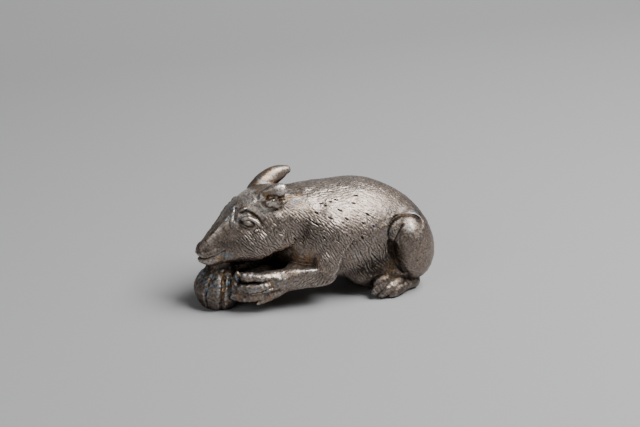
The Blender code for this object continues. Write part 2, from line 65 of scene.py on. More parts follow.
def ellipsoid(P, c, r, R=None):
    """distance to an ellipsoid: centre, radii, turn"""
    q = P - A(*c)
    if R is not None: q = q @ R
    r = A(*r); a = q/r
    k0 = np.sqrt((a*a).sum(-1)); b = a/r
    return k0*(k0-1)/(np.sqrt((b*b).sum(-1))+f32(1e-6))

def cone(P, a, b, ra, rb):
    """distance to a round-ended cone from a to b"""
    a = A(*a); b = A(*b); ba = b-a; l2 = float(ba@ba); rr = ra-rb
    a2 = l2-rr*rr; il2 = 1/l2
    pa = P-a; y = pa@ba; z = y-l2
    v = pa*f32(l2) - y[:,None]*ba; x2 = (v*v).sum(-1)
    y2 = y*y*l2; z2 = z*z*l2; k = np.sign(rr)*rr*rr*x2
    d = (np.sqrt(np.maximum(x2*a2*il2,0))+y*rr)*il2-ra
    m1 = np.sign(z)*a2*z2 > k; m2 = np.sign(y)*a2*y2 < k
    return np.where(m1, np.sqrt(x2+z2)*il2-rb, np.where(m2, np.sqrt(x2+y2)*il2-ra, d)).astype(f32)

def smin(a, b, k):
    """joins two shapes with a fillet of about k"""
    h = np.maximum(k-np.abs(a-b), 0)/k
    return np.minimum(a, b) - h*h*h*k*f32(1/6)

def smax(a, b, k):
    """cuts one shape by another with a rounded edge of about k"""
    return -smin(-a, -b, k)

def ramp(x, a, b):
    """0 below a, 1 above b, smooth between"""
    t = np.clip((x-a)/(b-a), 0, 1); return (t*t*(3-2*t)).astype(f32)

def curve(pts, n=5):
    """points along a smooth curve through pts, columns of any number"""
    p = np.array(pts, float); p = np.vstack([2*p[0]-p[1], p, 2*p[-1]-p[-2]]); out = []
    for i in range(1, len(p)-2):
        for t in np.arange(n)/n:
            out.append(0.5*(2*p[i]+(p[i+1]-p[i-1])*t+(2*p[i-1]-5*p[i]+4*p[i+1]-p[i+2])*t*t+(3*p[i]-p[i-1]-3*p[i+1]+p[i+2])*t**3))
    return np.array(out+[p[-2]])

def tube(P, pts, k=0.12, n=4):
    """a tube through rows of x, y, z, radius"""
    c = curve(pts, n); d = None
    for p, q in zip(c[:-1], c[1:]):
        ra, rb = max(p[3],0.02), max(q[3],0.02)
        e = cone(P, p[:3], q[:3], ra, rb)
        d = e if d is None else smin(d, e, k)
    return d

def local(P, d, c, r, op):
    """changes d by op only within r of c"""
    m = ((P-A(*c))**2).sum(-1) < r*r
    if m.any(): d[m] = op(P[m], d[m])
    return d

def table(xs, ys):
    """a smooth curve through a table of values that never overshoots them"""
    xs=np.array(xs,float); ys=np.array(ys,float); m=np.gradient(ys,xs); g=np.diff(ys)/np.diff(xs)
    for i in range(1,len(xs)-1):
        if g[i-1]*g[i]<=0: m[i]=0
    X=np.linspace(xs[0],xs[-1],400); i=np.clip(np.searchsorted(xs,X)-1,0,len(xs)-2)
    h=xs[i+1]-xs[i]; t=(X-xs[i])/h
    return X.astype(f32),((2*t**3-3*t**2+1)*ys[i]+(t**3-2*t**2+t)*h*m[i]+(3*t**2-2*t**3)*ys[i+1]+(t**3-t**2)*h*m[i+1]).astype(f32)
# head sections from the nose back: X, top, underside, half width, how much narrower above than below
HEAD = np.array([
 [-22.3,10.8,10.2,0.30,0.10],[-22.0,11.3, 9.2,0.95,0.25],[-21.3,12.2,8.2,1.5,0.33],[-20.0,13.55,7.5,2.3,0.40],
 [-18.4,15.2, 7.9,3.10,0.40],[-17.3,16.5, 8.1,3.60,0.38],[-16.2,17.85,8.1,4.1,0.36],[-14.4,19.15,8.0,5.0,0.33],
 [-12.0,20.15, 8.0,5.90,0.28],[ -9.5,20.3, 8.6,6.20,0.22],[ -6.5,19.7,9.5,6.3,0.15],[ -3.0,18.8,10.5,5.6,0.1],[1.5,16.5,11.5,3.6,0.1],[5,14.5,12.5,1.0,0.1]])
HT = [table(HEAD[:,0],HEAD[:,i]) for i in range(1,5)]

def head_raw(P):
    """the head as a loft of rounded sections"""
    x=P[:,0]; top,bot,w,a=(np.interp(x,*t).astype(f32) for t in HT)
    hh=np.maximum((top-bot)/2,0.05); t=(P[:,2]-(top+bot)/2)/hh
    ww=np.maximum(w*(1-a*np.clip(t,-1.3,1.3)),0.05); n=2.4
    r=(np.abs(P[:,1]/ww)**n+np.abs(t)**n)**(1/n)
    return (r-1)*np.minimum(hh,ww)+np.maximum(np.maximum(HEAD[0,0]-x,x-HEAD[-1,0]),0)

def head(P):
    """the head, scaled to a true distance"""
    e=f32(0.05); f=head_raw(P); g=0
    for i in range(3):
        D=np.zeros(3,f32); D[i]=e; g=g+((head_raw(P+D)-f)/e)**2
    f = (f/np.sqrt(np.maximum(g,0.25))).astype(f32)
    # the flat bridge of the muzzle, with an edge at each side
    top = np.interp(P[:,0],*HT[0]).astype(f32)
    flat = (P[:,2]-(top-0.12))*0.75
    return np.where(P[:,0] < -15.5, smax(f, flat - 0.6*ramp(P[:,0],-17.5,-15.5), 0.12), f)

def edge(P, pts, n=4):
    """signed distance in the side view from a line of x, z points, positive on its left, and how far along, 0 to 1"""
    c = curve(pts, n).astype(f32); L = np.r_[0, np.cumsum(np.hypot(*np.diff(c,axis=0).T))]; L /= L[-1]
    q = P[:,[0,2]]; best = np.full(len(P), 1e9, f32); s = np.zeros(len(P), f32); t = np.zeros(len(P), f32)
    for i in range(len(c)-1):
        v = c[i+1]-c[i]; w = q-c[i]; h = np.clip(w@v/(v@v), 0, 1); r = w-h[:,None]*v
        d2 = (r*r).sum(1); m = d2 < best
        side = np.sign(v[0]*w[:,1]-v[1]*w[:,0])
        best = np.where(m, d2, best); s = np.where(m, side*np.sqrt(d2), s); t = np.where(m, L[i]+h*(L[i+1]-L[i]), t)
    return s.astype(f32), t.astype(f32)

def step(P, d, pts, depth, fade, sharp=0.2, ends=0.15, out=2.0, soft=0):
    """sinks the side to the left of a line, with a crisp edge at the line that fades away from it"""
    c = np.array(pts, float); mid = (c.min(0)+c.max(0))/2; r = np.hypot(*(c.max(0)-c.min(0)))/2+3*fade+1
    m = (np.hypot(P[:,0]-mid[0], P[:,2]-mid[1]) < r) & (P[:,1] < -out) & (np.abs(d) < 3)
    if m.any():
        s, t = edge(P[m], pts)
        w = sharp+soft*(1-ramp(t, 0, 0.6))
        e = np.clip(s/w+0.5, 0, 1); e = e*e*(3-2*e)
        e = e*np.exp(-np.maximum(s,0)/fade)*ramp(t, 0, ends)*(1-ramp(t, 1-ends, 1))
        d[m] += depth*e*ramp(-P[m,1], out, out+1)
    return d

def groove(P, d, pts, depth, width, ends=0.15, out=0.5):
    """a rounded channel along a line of x, z points"""
    c = np.array(pts, float); mid = (c.min(0)+c.max(0))/2; r = np.hypot(*(c.max(0)-c.min(0)))/2+3*width+0.2
    m = (np.hypot(P[:,0]-mid[0], P[:,2]-mid[1]) < r) & (P[:,1] < -out) & (np.abs(d) < 2)
    if m.any():
        s, t = edge(P[m], pts)
        d[m] += depth*np.exp(-(s/width)**2)*ramp(t, 0, ends)*(1-ramp(t, 1-ends, 1))*ramp(-P[m,1], out, out+0.5)
    return d

def eye(P, d):
    def op(p, e):
        x, z = p[:,0], p[:,2]
        e = e + 0.5*np.exp(-((x+14.1)/1.6)**2-((z-15.9)/1.15)**2)
        e = groove(p, e, [(-15.45,16.8),(-14.9,17.25),(-14.1,17.3),(-13.2,16.85),(-12.5,16.1),(-12.2,15.1)], 0.3, 0.28, 0.2)
        e = smin(e, ellipsoid(p, (-14.15,-3.55,15.7), (1.35,1.05,0.74), rot('y',22)), 0.06)
        e = smin(e, tube(p, [(-15.5,-3.45,16.15,.2),(-15.05,-3.78,16.5,.34),(-14.3,-4.12,16.7,.38),(-13.6,-4.45,16.42,.33),(-12.95,-4.9,15.85,.28),(-12.5,-5.25,15.2,.15)]), 0.08)
        e = smin(e, tube(p, [(-15.2,-3.7,15.3,.08),(-14.6,-4.15,14.95,.12),(-13.8,-4.5,14.82,.14),(-13.1,-4.85,14.95,.1)]), 0.12)
        e = smin(e, ellipsoid(p, (-13.3,-5.25,14.72), (0.34,0.34,0.26)), 0.06)
        e = smin(e, tube(p, [(-15.4,-2.3,17.35,.12),(-14.9,-2.6,17.75,.27),(-14.4,-2.85,18.0,.12)]), 0.35)
        e = groove(p, e, [(-15.55,18.1),(-15.85,17.3),(-16.1,16.4),(-16.4,15.4)], 0.28, 0.17, 0.25)
        e = smin(e, tube(p, [(-16.1,-1.6,17.4,.12),(-16.5,-1.95,16.6,.26),(-16.75,-2.38,15.8,.26),(-16.95,-2.75,15.0,.12)]), 0.35)
        return smax(e, -tube(p, [(-15.7,-3.4,16.05,.36),(-15.4,-3.75,15.75,.34)]), 0.1)
    return local(P, d, (-14.4,-4.0,16.4), 4.2, op)

def muzzle(P, d):
    def op(p, e):
        e = smin(e, ellipsoid(p, (-21.15,0,10.35), (0.95,1.0,0.95)), 1.5)
        mouth = [(-22.6,9.15),(-21.9,9.15),(-21.2,9.25),(-20.5,9.6),(-19.7,10.05),(-18.9,10.6),(-18.1,11.3)]
        e = step(p, e, mouth[::-1], 0.25, 1.6, 0.3, 0.12, -1.5)
        # upper and lower lip
        e = smin(e, tube(p, [(-22.25,-0.4,9.85,.3),(-21.6,-1.1,9.85,.34),(-20.7,-1.6,10.15,.34),(-19.8,-2.1,10.65,.28),(-19.0,-2.55,11.15,.15)]), 0.3)
        e = smin(e, tube(p, [(-21.8,-0.3,8.5,.46),(-21.0,-1.15,8.5,.56),(-20.1,-1.85,8.75,.6),(-19.2,-2.45,9.3,.52),(-18.6,-2.8,9.9,.3)]), 0.2)
        s, t = edge(p, mouth)
        return e + 0.36*np.exp(-(s/(0.06+0.15*(1-t)**2))**2)*(1-ramp(t,0.25,0.65)) + 0.10*np.exp(-(s/0.09)**2)*ramp(t,0.3,0.5)*(1-ramp(t,0.8,1))
    d = local(P, d, (-20.5,0,10.5), 4.0, op)
    # the raised edge of the bridge
    def rim(p, e):
        return smin(e, tube(p, [(-20.5,-0.8,12.1,.15),(-19.7,-0.95,13.05,.28),(-18.9,-1.05,14.05,.24),(-17.6,-1.35,15.55,.28),(-16.4,-1.65,16.95,.2)]), 0.25)
    return local(P, d, (-18.8,-1.2,14.2), 4.6, rim)


def body(P):
    """shoulders, barrel and rump, hollowed out under the belly"""
    t = ellipsoid(P, (-1.0,0.3,11.3), (8.5,8.0,8.3))
    t = smin(t, ellipsoid(P, (5.0,0.2,10.8), (11.5,8.9,8.9)), 2.5)
    t = smin(t, ellipsoid(P, (11.0,0,7.4), (8.8,8.6,9.4)), 2.2)
    return smax(t, 3.1-3.1*ramp(P[:,0],3.0,8.5)-P[:,2], 1.2)

def fruit(P, ribs=9):
    """the ribbed fruit, and its neck up to the chin"""
    v = P - A(-18.8,-0.25,2.95); q = v@rot('y',15)
    # the lower half is fuller, down to the broad flat it stands on
    d = ellipsoid(q*np.where(q[:,2:]<0, A(1,1,0.92), A(1,1,1)), (0,0,0), (4.1,4.45,3.85))
    z = v[:,2]; x = v[:,0]-0.2*np.maximum(z,0)  # the ribs lean back towards the neck
    th = np.arctan2(v[:,1],x); rr = np.hypot(x,v[:,1])
    g = np.abs(np.sin(th*ribs/2+1.45))
    on = ramp(rr,0.8,2.4)*(1-ramp(z,2.8,4.2))*(0.4+0.6*ramp(z,-2.6,-0.6))
    front = ramp(-th,2.44,2.7)*(1-ramp(z,0.5,2.0))
    d = d + 0.32*np.exp(-(g/0.26)**2)*on*(1-0.85*front)
    d = d + 0.26*(1-ramp(np.abs(th+1.72)*rr,0.30,0.60))*on
    return smin(d, cone(P, (-18.3,-0.1,4.8), (-18.3,-0.1,8.3), 2.9, 1.9), 1.3)

def arms(P, d):
    """the upper arm, and the forearm with its flat top"""
    up = cone(P, (0.4,-4.5,12.6), (-1.1,-7.0,7.5), 4.2, 2.6)
    d = smin(d, up, 0.5+3.2*ramp(P[:,2],8.5,14))
    S = A(1,0.9,1); a,b = A(-2.0,-6.6,6.0)*S, A(-11.2,-5.2,5.2)*S
    fo = cone(P*S, a, b, 2.55, 2.35); x = P[:,0]
    fo = smax(fo, P[:,2]-(7.15+0.35*np.exp(-((x+6.5)/4)**2)), 0.35)
    fo = smax(fo, -(P[:,1]+8.4), 0.5)
    # towards the wrist the top slopes down to the inner side
    fo = smax(fo, (P[:,2]-7.3+0.8*(P[:,1]+5.8))*0.78 - 4*(1-ramp(-x,4,9)), 0.4)
    fo = smax(fo, P[:,1]+2.15, 0.8)
    fo = smax(fo, 3.0-P[:,2]+0.12*(x+8), 1.5)
    return smin(d, fo, 0.5)

def paw(P, d):
    """the palm, the digits round the fruit, and the claw"""
    m = ellipsoid(P, (-13.0,-4.9,4.3), (4.1,2.1,2.3))
    m = smin(m, tube(P, [(-9.9,-6.7,6.0,.95),(-11.4,-6.8,6.25,.84),(-12.6,-6.6,6.35,.95),(-13.8,-6.2,6.45,.84),(-15.0,-5.7,6.5,.92),(-16.0,-5.1,6.6,.7)]), 0.3)
    m = smin(m, tube(P, [(-10.4,-6.9,4.95,.9),(-12.6,-6.95,4.85,1.05),(-14.6,-6.35,4.7,1.05),(-16.1,-5.5,4.75,.8)]), 0.25)
    m = smin(m, tube(P, [(-11.2,-6.7,3.9,.8),(-13.4,-6.3,3.2,.95),(-15.6,-5.5,2.9,.95),(-17.3,-4.6,2.95,.75)]), 0.3)
    m = smin(m, tube(P, [(-9.0,-6.9,4.2,.9),(-11.5,-6.9,3.1,.8),(-13.7,-6.6,1.8,.25)]), 0.3)
    m = smin(m, ellipsoid(P, (-17.1,-3.9,4.3), (0.8,1.0,1.7)), 0.3)
    m = smin(m, tube(P, [(-16.75,-4.95,7.1,.48),(-17.0,-5.05,6.3,.48),(-16.95,-5.05,5.3,.42),(-16.85,-5.0,4.6,.3)]), 0.06)
    m = groove(P, m, [(-16.3,5.6),(-15.0,5.72),(-13.3,5.85),(-12.1,6.1),(-10.6,6.3)], 0.3, 0.16, 0.2)
    m = groove(P, m, [(-15.3,3.9),(-13.9,4.25),(-12.9,4.55),(-11.9,4.85),(-10.6,5.2)], 0.32, 0.16, 0.2)
    return smin(d, m, 0.35)

def hind(P, d):
    """the hind leg, folded, with the foot under it"""
    # the hollow in front of the thigh, then the knee fold and the thigh
    d = smin(d, ellipsoid(P,(6.7,-3.9,5.0),(3.6,3.8,3.6)), 1.0)
    d = smax(d, -tube(P, [(9.3,-9.9,11.6,.4),(9.2,-9.7,10.4,.9),(9.4,-9.5,8.8,1.3),(10.2,-9.4,7.0,1.4),(11.6,-9.2,5.4,1.0)]), 1.0)
    d = smax(d, -tube(P, [(10.1,-8.4,11.2,.25),(10.15,-8.35,10.4,.75),(10.45,-8.3,9.3,.95),(10.8,-8.3,8.2,1.0),(11.4,-8.3,6.9,1.0),(12.1,-8.2,5.8,.95),(13.1,-7.9,4.6,.7)]), 0.7)
    d = smax(d, -tube(P, [(4.3,-8.7,7.0,.7),(6.8,-9.05,6.1,1.35),(9.3,-9.2,5.8,1.65),(11.6,-9.0,5.3,1.3)]), 1.0)
    d = smin(d, tube(P, [(10.6,-7.35,11.3,1.0),(10.9,-7.0,12.1,1.3),(11.4,-6.6,12.6,1.4),(12.0,-6.25,12.95,1.25),(12.8,-5.75,13.05,.9)]), 0.4)
    d = smin(d, ellipsoid(P, (14.7,-5.3,8.3), (4.2,4.2,6.3), rot('y',-13)), 0.3+3.2*ramp(P[:,0],12.5,17)+0.9*ramp(P[:,2],11.0,12.5))
    d = step(P, d, [(14.8,2.8),(13.5,4.2),(12.1,6.3),(11.1,8.4),(10.6,10.2),(10.5,11.2)], 0.15, 0.7, 0.6, 0.2, 6.0)
    d = groove(P, d, [(10.6,10.4),(11.25,11.5),(12.0,12.6),(12.75,13.4)], 0.28, 0.2, 0.2, 6.0)
    # foot
    f = cone(P, (15.4,-5.6,1.3), (10.9,-6.6,1.9), 1.3, 1.95)
    for toe in ([(11.2,-6.9,3.3,.8),(9.6,-7.4,3.35,.95),(8.3,-7.6,3.05,.85),(7.7,-7.65,2.7,.6)],
                [(10.6,-7.3,2.9,.9),(8.9,-7.75,2.5,.98),(7.8,-7.95,1.9,.85),(7.2,-7.95,1.3,.6)],
                [(12.0,-7.3,2.4,1.0),(10.2,-7.95,1.85,1.12),(9.0,-8.2,1.3,.95),(8.4,-8.25,.8,.65)],
                [(13.6,-6.9,1.6,1.0),(12.0,-7.7,1.4,1.15),(10.7,-8.2,1.1,1.05),(10.0,-8.3,.75,.7)]):
        f = smin(f, tube(P, toe, 0.1, 2), 0.22)
    return smin(d, f, 0.4)

def ears(P, d):
    """the short cupped left ear and the long right one"""
    def left(p, e):
        # a short cupped ear, laid back, with a thick rolled upper rim
        a = A(0.80,-0.25,0.50); a/=np.linalg.norm(a)
        n = A(-0.25,-0.9,0.33); n-= a*(a@n); n/=np.linalg.norm(n)
        w = np.cross(a,n).astype(f32); R = np.stack([a,w,n],1); c = A(-9.8,-4.2,20.0)
        e = smin(e, ellipsoid(p, c, (2.5,1.7,1.15), R), 0.6)
        e = smin(e, tube(p, [(-12.5,-3.9,20.1,.35),(-11.8,-4.3,20.8,.6),(-10.7,-4.75,21.4,.8),(-9.6,-5.05,21.6,1.0),(-8.95,-5.25,21.5,1.12)]), 0.2)
        e = smax(e, -tube(p, [(-10.4,-6.0,19.75,.25),(-9.6,-5.9,19.85,.5),(-8.6,-5.5,20.05,.8),(-7.5,-5.2,20.3,.95)]), 0.15)
        for x,y,z,r in ((-12.0,-4.6,20.15,.62),(-10.7,-5.0,19.4,.68),(-9.3,-5.2,18.95,.68),(-8.4,-5.3,19.3,.5)):
            e = smin(e, ellipsoid(p, (x,y,z), (r*1.5,r,r*.9), R), 0.4)
        return e
    d = local(P, d, (-9.8,-4.9,20.2), 4.5, left)
    def right(p, e):
        f = tube(p, [(-11.0,2.9,18.7,1.35),(-9.0,4.0,19.95,1.3),(-6.6,4.7,20.8,1.15),(-4.4,5.0,21.0,.7)], 0.4)
        f = smin(f, tube(p, [(-9.9,3.2,19.4,1.1),(-7.6,4.0,19.9,1.15),(-5.4,4.6,20.45,.75)], 0.3), 0.6)
        return smin(e, f, 0.5)
    return local(P, d, (-8,4,20.2), 5.5, right)

def tail(P, d):
    """a slim tail from the middle of the rump, laid round the right thigh"""
    t = tube(P, [(18.0,0.4,6.1,1.3),(18.7,2.6,4.3,1.05),(18.1,5.2,3.0,.9),(16.5,7.4,2.2,.8),(14.2,8.7,1.7,.7),(11.8,9.0,1.4,.55),(10.0,8.9,1.2,.35)], 0.3, 3)
    return smin(d, t, 0.45+1.1*(1-ramp(P[:,1],0.6,3.0)))

def base(P):
    """everything but the ears, tail and fruit"""
    z = P[:,2]
    d = smin(body(P), head(P), 0.4+2.6*ramp(z,11.5,16))
    # both sides at once, folded onto the near side; the far forepaw closes in on the fruit
    y = P[:,1]+1.0*ramp(P[:,1],0.5,3)*(1-ramp(P[:,0],-15,-9))
    Q = np.stack([P[:,0], -np.abs(y), P[:,2]], 1)
    Q = np.ascontiguousarray(Q, f32)
    d = step(Q, d, [(-7.2,16.8),(-7.4,15.5),(-7.8,14.3),(-8.5,13.0),(-9.5,11.6),(-10.3,10.8),(-11.2,10.1),(-12.2,9.6),(-13.3,9.3)], 0.8, 2.2, 0.2, 0.3, soft=3.0)
    S = np.stack([P[:,0], -np.abs(P[:,1]), P[:,2]], 1)
    d = eye(S, d); d = muzzle(S, d)
    d = arms(Q, d)
    # the web of metal between the forelegs
    d = smin(d, np.maximum(np.maximum(np.abs(P[:,0]+7.2)-6.3, np.abs(P[:,1])-4.2), np.abs(P[:,2]-3.9)-0.6), 0.8)
    d = step(Q, d, [(3.2,12.4),(2.6,11.5),(1.5,10.3),(0.7,8.9),(-0.1,7.3),(-1.0,5.8)], 0.7, 1.8)
    d = step(Q, d, [(-5.4,10.0),(-5.1,11.8),(-4.5,13.8),(-4.0,15.7)], 0.5, 1.4, 0.7, 0.4)
    # the rim along the back of the upper arm, and a scored line above it
    d = groove(Q, d, [(2.4,11.6),(1.3,10.4),(0.45,8.9),(-0.35,7.4),(-1.25,5.9)], -0.16, 0.16, 0.2, 5.0)
    d = groove(Q, d, [(0.2,13.9),(0.15,13.0),(0.15,12.1)], 0.16, 0.1, 0.3, 5.0)
    d = paw(Q, d); d = hind(Q, d)
    d = groove(Q, d, [(9.6,11.0),(9.6,12.2),(10.05,13.2),(11.0,14.0),(12.1,14.35),(13.2,14.4),(14.2,14.25),(15.2,13.9),(15.9,13.4),(16.4,12.8)], 0.38, 0.19, 0.12, 6.0)
    return d

def form(P):
    """the whole figurine: distance to its surface, below 0 inside"""
    d = base(P)
    d = ears(P, d)
    d = tail(P, d)
    d = smin(d, fruit(P), 0.3)
    return smax(d, -P[:,2], 0.05)


# ---- from the form to a mesh -------------------------------------------------------------------------------------
def sampled(lo, hi, spacings):
    """The form on a grid of the last spacing, worked out only near the surface, coarse to fine."""
    before = None
    for h in spacings:
        axes = [np.arange(a, b + h, h) for a, b in zip(lo, hi)]
        if before is None:
            F = np.empty([len(a) for a in axes], f32)
            for i, x in enumerate(axes[0]):
                Y, Z = np.meshgrid(axes[1], axes[2], indexing="ij")
                P = np.stack([np.full(Y.size, x), Y.ravel(), Z.ravel()], 1).astype(f32)
                F[i] = form(P).reshape(Y.shape)
        else:
            F0, old, H = before
            near = np.abs(F0) < 1.7 * H
            I = [np.clip(np.rint((a - o[0]) / H).astype(int), 0, len(o) - 1) for a, o in zip(axes, old)]
            todo = near[np.ix_(*I)]
            F = F0[np.ix_(*I)].copy()
            at = np.argwhere(todo)
            for i in range(0, len(at), 200000):
                q = at[i:i + 200000]
                P = np.stack([axes[k][q[:, k]] for k in range(3)], 1).astype(f32)
                F[q[:, 0], q[:, 1], q[:, 2]] = form(P)
        before = (F, axes, h)
    return F, axes


def nets(F, axes):
    """Surface nets: one vertex in every cell the surface passes through, one quad round every crossed grid edge."""
    S = F < 0
    c = [S[i:S.shape[0] - 1 + i, j:S.shape[1] - 1 + j, k:S.shape[2] - 1 + k] for i in (0, 1) for j in (0, 1) for k in (0, 1)]
    count = sum(x.astype(np.int8) for x in c)
    active = (count > 0) & (count < 8)
    ijk = np.argwhere(active)
    index = np.full(active.shape, -1, np.int64)
    index[active] = np.arange(len(ijk))
    total, n = np.zeros((len(ijk), 3)), np.zeros(len(ijk))
    corners = [(i, j, k) for i in (0, 1) for j in (0, 1) for k in (0, 1)]
    for a in corners:
        for b in corners:
            if a >= b or sum(abs(p - q) for p, q in zip(a, b)) != 1:
                continue
            fa, fb = (F[tuple(ijk[:, m] + v[m] for m in range(3))] for v in (a, b))
            cut = (fa < 0) != (fb < 0)
            t = np.where(cut, fa / np.where(cut, fa - fb, 1), 0)
            for m in range(3):
                pa, pb = axes[m][ijk[:, m] + a[m]], axes[m][ijk[:, m] + b[m]]
                total[:, m] += np.where(cut, pa + (pb - pa) * t, 0)
            n += cut
    quads = []
    for m in range(3):
        lo, hi = [slice(None)] * 3, [slice(None)] * 3
        lo[m], hi[m] = slice(0, -1), slice(1, None)
        first = S[tuple(lo)]
        e = np.argwhere(first != S[tuple(hi)])
        u, v = (m + 1) % 3, (m + 2) % 3
        shape = np.array(F.shape)
        e = e[(e[:, u] > 0) & (e[:, u] < shape[u] - 1) & (e[:, v] > 0) & (e[:, v] < shape[v] - 1)]
        cells = []
        for du, dv in ((1, 1), (0, 1), (0, 0), (1, 0)):
            q = e.copy()
            q[:, u] -= du
            q[:, v] -= dv
            cells.append(index[q[:, 0], q[:, 1], q[:, 2]])
        q = np.stack(cells, 1)
        back = ~first[e[:, 0], e[:, 1], e[:, 2]]
        q[back] = q[back][:, ::-1]
        quads.append(q)
    return (total / n[:, None]).astype(f32), np.vstack(quads)


def slope(P, e=0.02):
    """The form's value and its gradient."""
    f = form(P)
    return f, np.stack([(form(P + f32(e) * a) - f) / f32(e) for a in np.eye(3, dtype=f32)], 1)


def settled(P):
    """Points drawn onto the form, and the surface's normals there."""
    out, normals = P.copy(), np.empty_like(P)
    for i in range(0, len(P), 150000):
        q = P[i:i + 150000]
        f, g = slope(q)
        g2 = np.maximum((g * g).sum(1), 0.2)
        move = -(f / g2)[:, None] * g
        size = np.sqrt((move * move).sum(1))[:, None]
        out[i:i + 150000] = q + move * np.minimum(1, 0.12 / np.maximum(size, 1e-9))
        normals[i:i + 150000] = g / np.sqrt(g2)[:, None]
    return out, normals


def faces_normals(P, Q):
    """Area-weighted vertex normals of a quad mesh."""
    n = np.cross(P[Q[:, 2]] - P[Q[:, 0]], P[Q[:, 3]] - P[Q[:, 1]])
    total = np.zeros((len(P), 3))
    for i in range(4):
        for k in range(3):
            total[:, k] += np.bincount(Q[:, i], weights=n[:, k], minlength=len(P))
    return (total / (np.linalg.norm(total, axis=1)[:, None] + 1e-12)).astype(f32)


def neighbours(Q, n):
    e = np.vstack([Q[:, [0, 1]], Q[:, [1, 2]], Q[:, [2, 3]], Q[:, [3, 0]]])
    e.sort(axis=1)
    e = np.unique(e, axis=0)
    return e, np.bincount(e.ravel(), minlength=n).astype(f32)


def spread(value, e, count, rounds):
    """A value evened out over the mesh."""
    value = np.array(value, np.float64)
    flat = value.ndim == 1
    v = value[:, None] if flat else value
    for _ in range(rounds):
        mean = np.empty_like(v)
        for k in range(v.shape[1]):
            mean[:, k] = np.bincount(e[:, 0], weights=v[e[:, 1], k], minlength=len(v)) + np.bincount(e[:, 1], weights=v[e[:, 0], k], minlength=len(v))
        v = 0.35 * v + 0.65 * mean / count[:, None]
    return (v[:, 0] if flat else v).astype(f32)


# ---- the chasing: fur strokes, punch marks and the hand-worked unevenness -----------------------------------------
def waves(P, length, seed, count=18):
    """A smooth random field of about unit spread, made of plane waves of about that wavelength."""
    r = np.random.default_rng(seed)
    k = r.normal(size=(count, 3))
    k = k / np.linalg.norm(k, axis=1)[:, None] * (2 * math.pi / length) * r.uniform(0.7, 1.4, (count, 1))
    phase = r.uniform(0, 2 * math.pi, count)
    out = np.zeros(len(P))
    for i in range(count):
        out += np.sin(P @ k[i] + phase[i])
    return (out * math.sqrt(2.0 / count)).astype(f32)


# which way the coat lies: x, z and the slope of the hair below the horizontal, in degrees, seen from the near side
LIE = np.array([
    (-6.0, 19.0, 22), (-2.0, 19.0, 15), (3.0, 19.2, 12), (8.0, 18.5, 16), (12.0, 16.8, 28), (15.5, 14.8, 42), (18.0, 11.0, 66), (19.0, 6.0, 80),
    (-5.0, 16.5, 40), (-1.0, 16.0, 36), (4.0, 15.8, 33), (8.5, 14.5, 36), (-4.0, 13.0, 52), (0.0, 13.0, 48), (4.0, 12.8, 48), (7.5, 12.0, 50),
    (-1.5, 10.0, 58), (1.0, 8.0, 68), (4.5, 9.5, 74), (6.5, 8.5, 78), (8.0, 9.5, 74), (6.0, 5.0, 62), (4.0, 6.5, 66), (9.5, 6.0, 60),
    (-9.0, 18.5, 45), (-8.0, 15.5, 62), (-10.0, 13.0, 58), (-12.0, 11.0, 52), (-14.0, 12.5, 48), (-14.5, 10.0, 40), (-17.0, 11.5, 40), (-17.0, 14.5, 48),
    (-12.0, 16.5, 62), (-13.0, 19.0, 45), (-19.0, 10.5, 35),
    (0.5, 5.8, 122), (-1.5, 5.5, 126), (-4.0, 5.0, 130), (-8.0, 5.0, 136), (-10.0, 4.5, 150), (-5.0, 8.5, 40),
    (12.5, 8.0, 70), (15.0, 10.0, 60), (15.0, 4.0, 70), (10.0, 2.5, 20), (14.0, 2.0, 20),
], float)


def lie(P, N):
    """The coat's direction along the surface at each point, one unit vector a row."""
    w = 1.0 / (((P[:, None, [0, 2]] - LIE[None, :, :2]) ** 2).sum(2) + 0.6) ** 1.5
    a = np.radians(LIE[:, 2])
    cx, cz = (w @ np.cos(a)) / w.sum(1), (w @ np.sin(a)) / w.sum(1)
    f = (1 - ramp(P[:, 0], -0.5, 1.0)) * (1 - ramp(P[:, 2], 6.8, 8.0)) * ramp(P[:, 0], -14, -12)  # the forearm
    cx, cz = cx + f * (-0.78 - cx), cz + f * (0.62 - cz)
    side = np.clip(P[:, 1] / 1.5, -1, 1)
    v = np.stack([cx, 0.45 * cz * side, -cz], 1)
    v -= (v * N).sum(1)[:, None] * N
    return v / (np.linalg.norm(v, axis=1)[:, None] + 1e-9)


def blob(P, x, z, rx, rz, turn=0.0, soft=0.35):
    """1 inside an ellipse of the side view, falling to 0 outside it."""
    c, s = math.cos(math.radians(turn)), math.sin(math.radians(turn))
    u, v = P[:, 0] - x, P[:, 2] - z
    a, b = (u * c + v * s) / rx, (-u * s + v * c) / rz
    return 1 - ramp(np.sqrt(a * a + b * b), 1 - soft / 2, 1 + soft / 2)


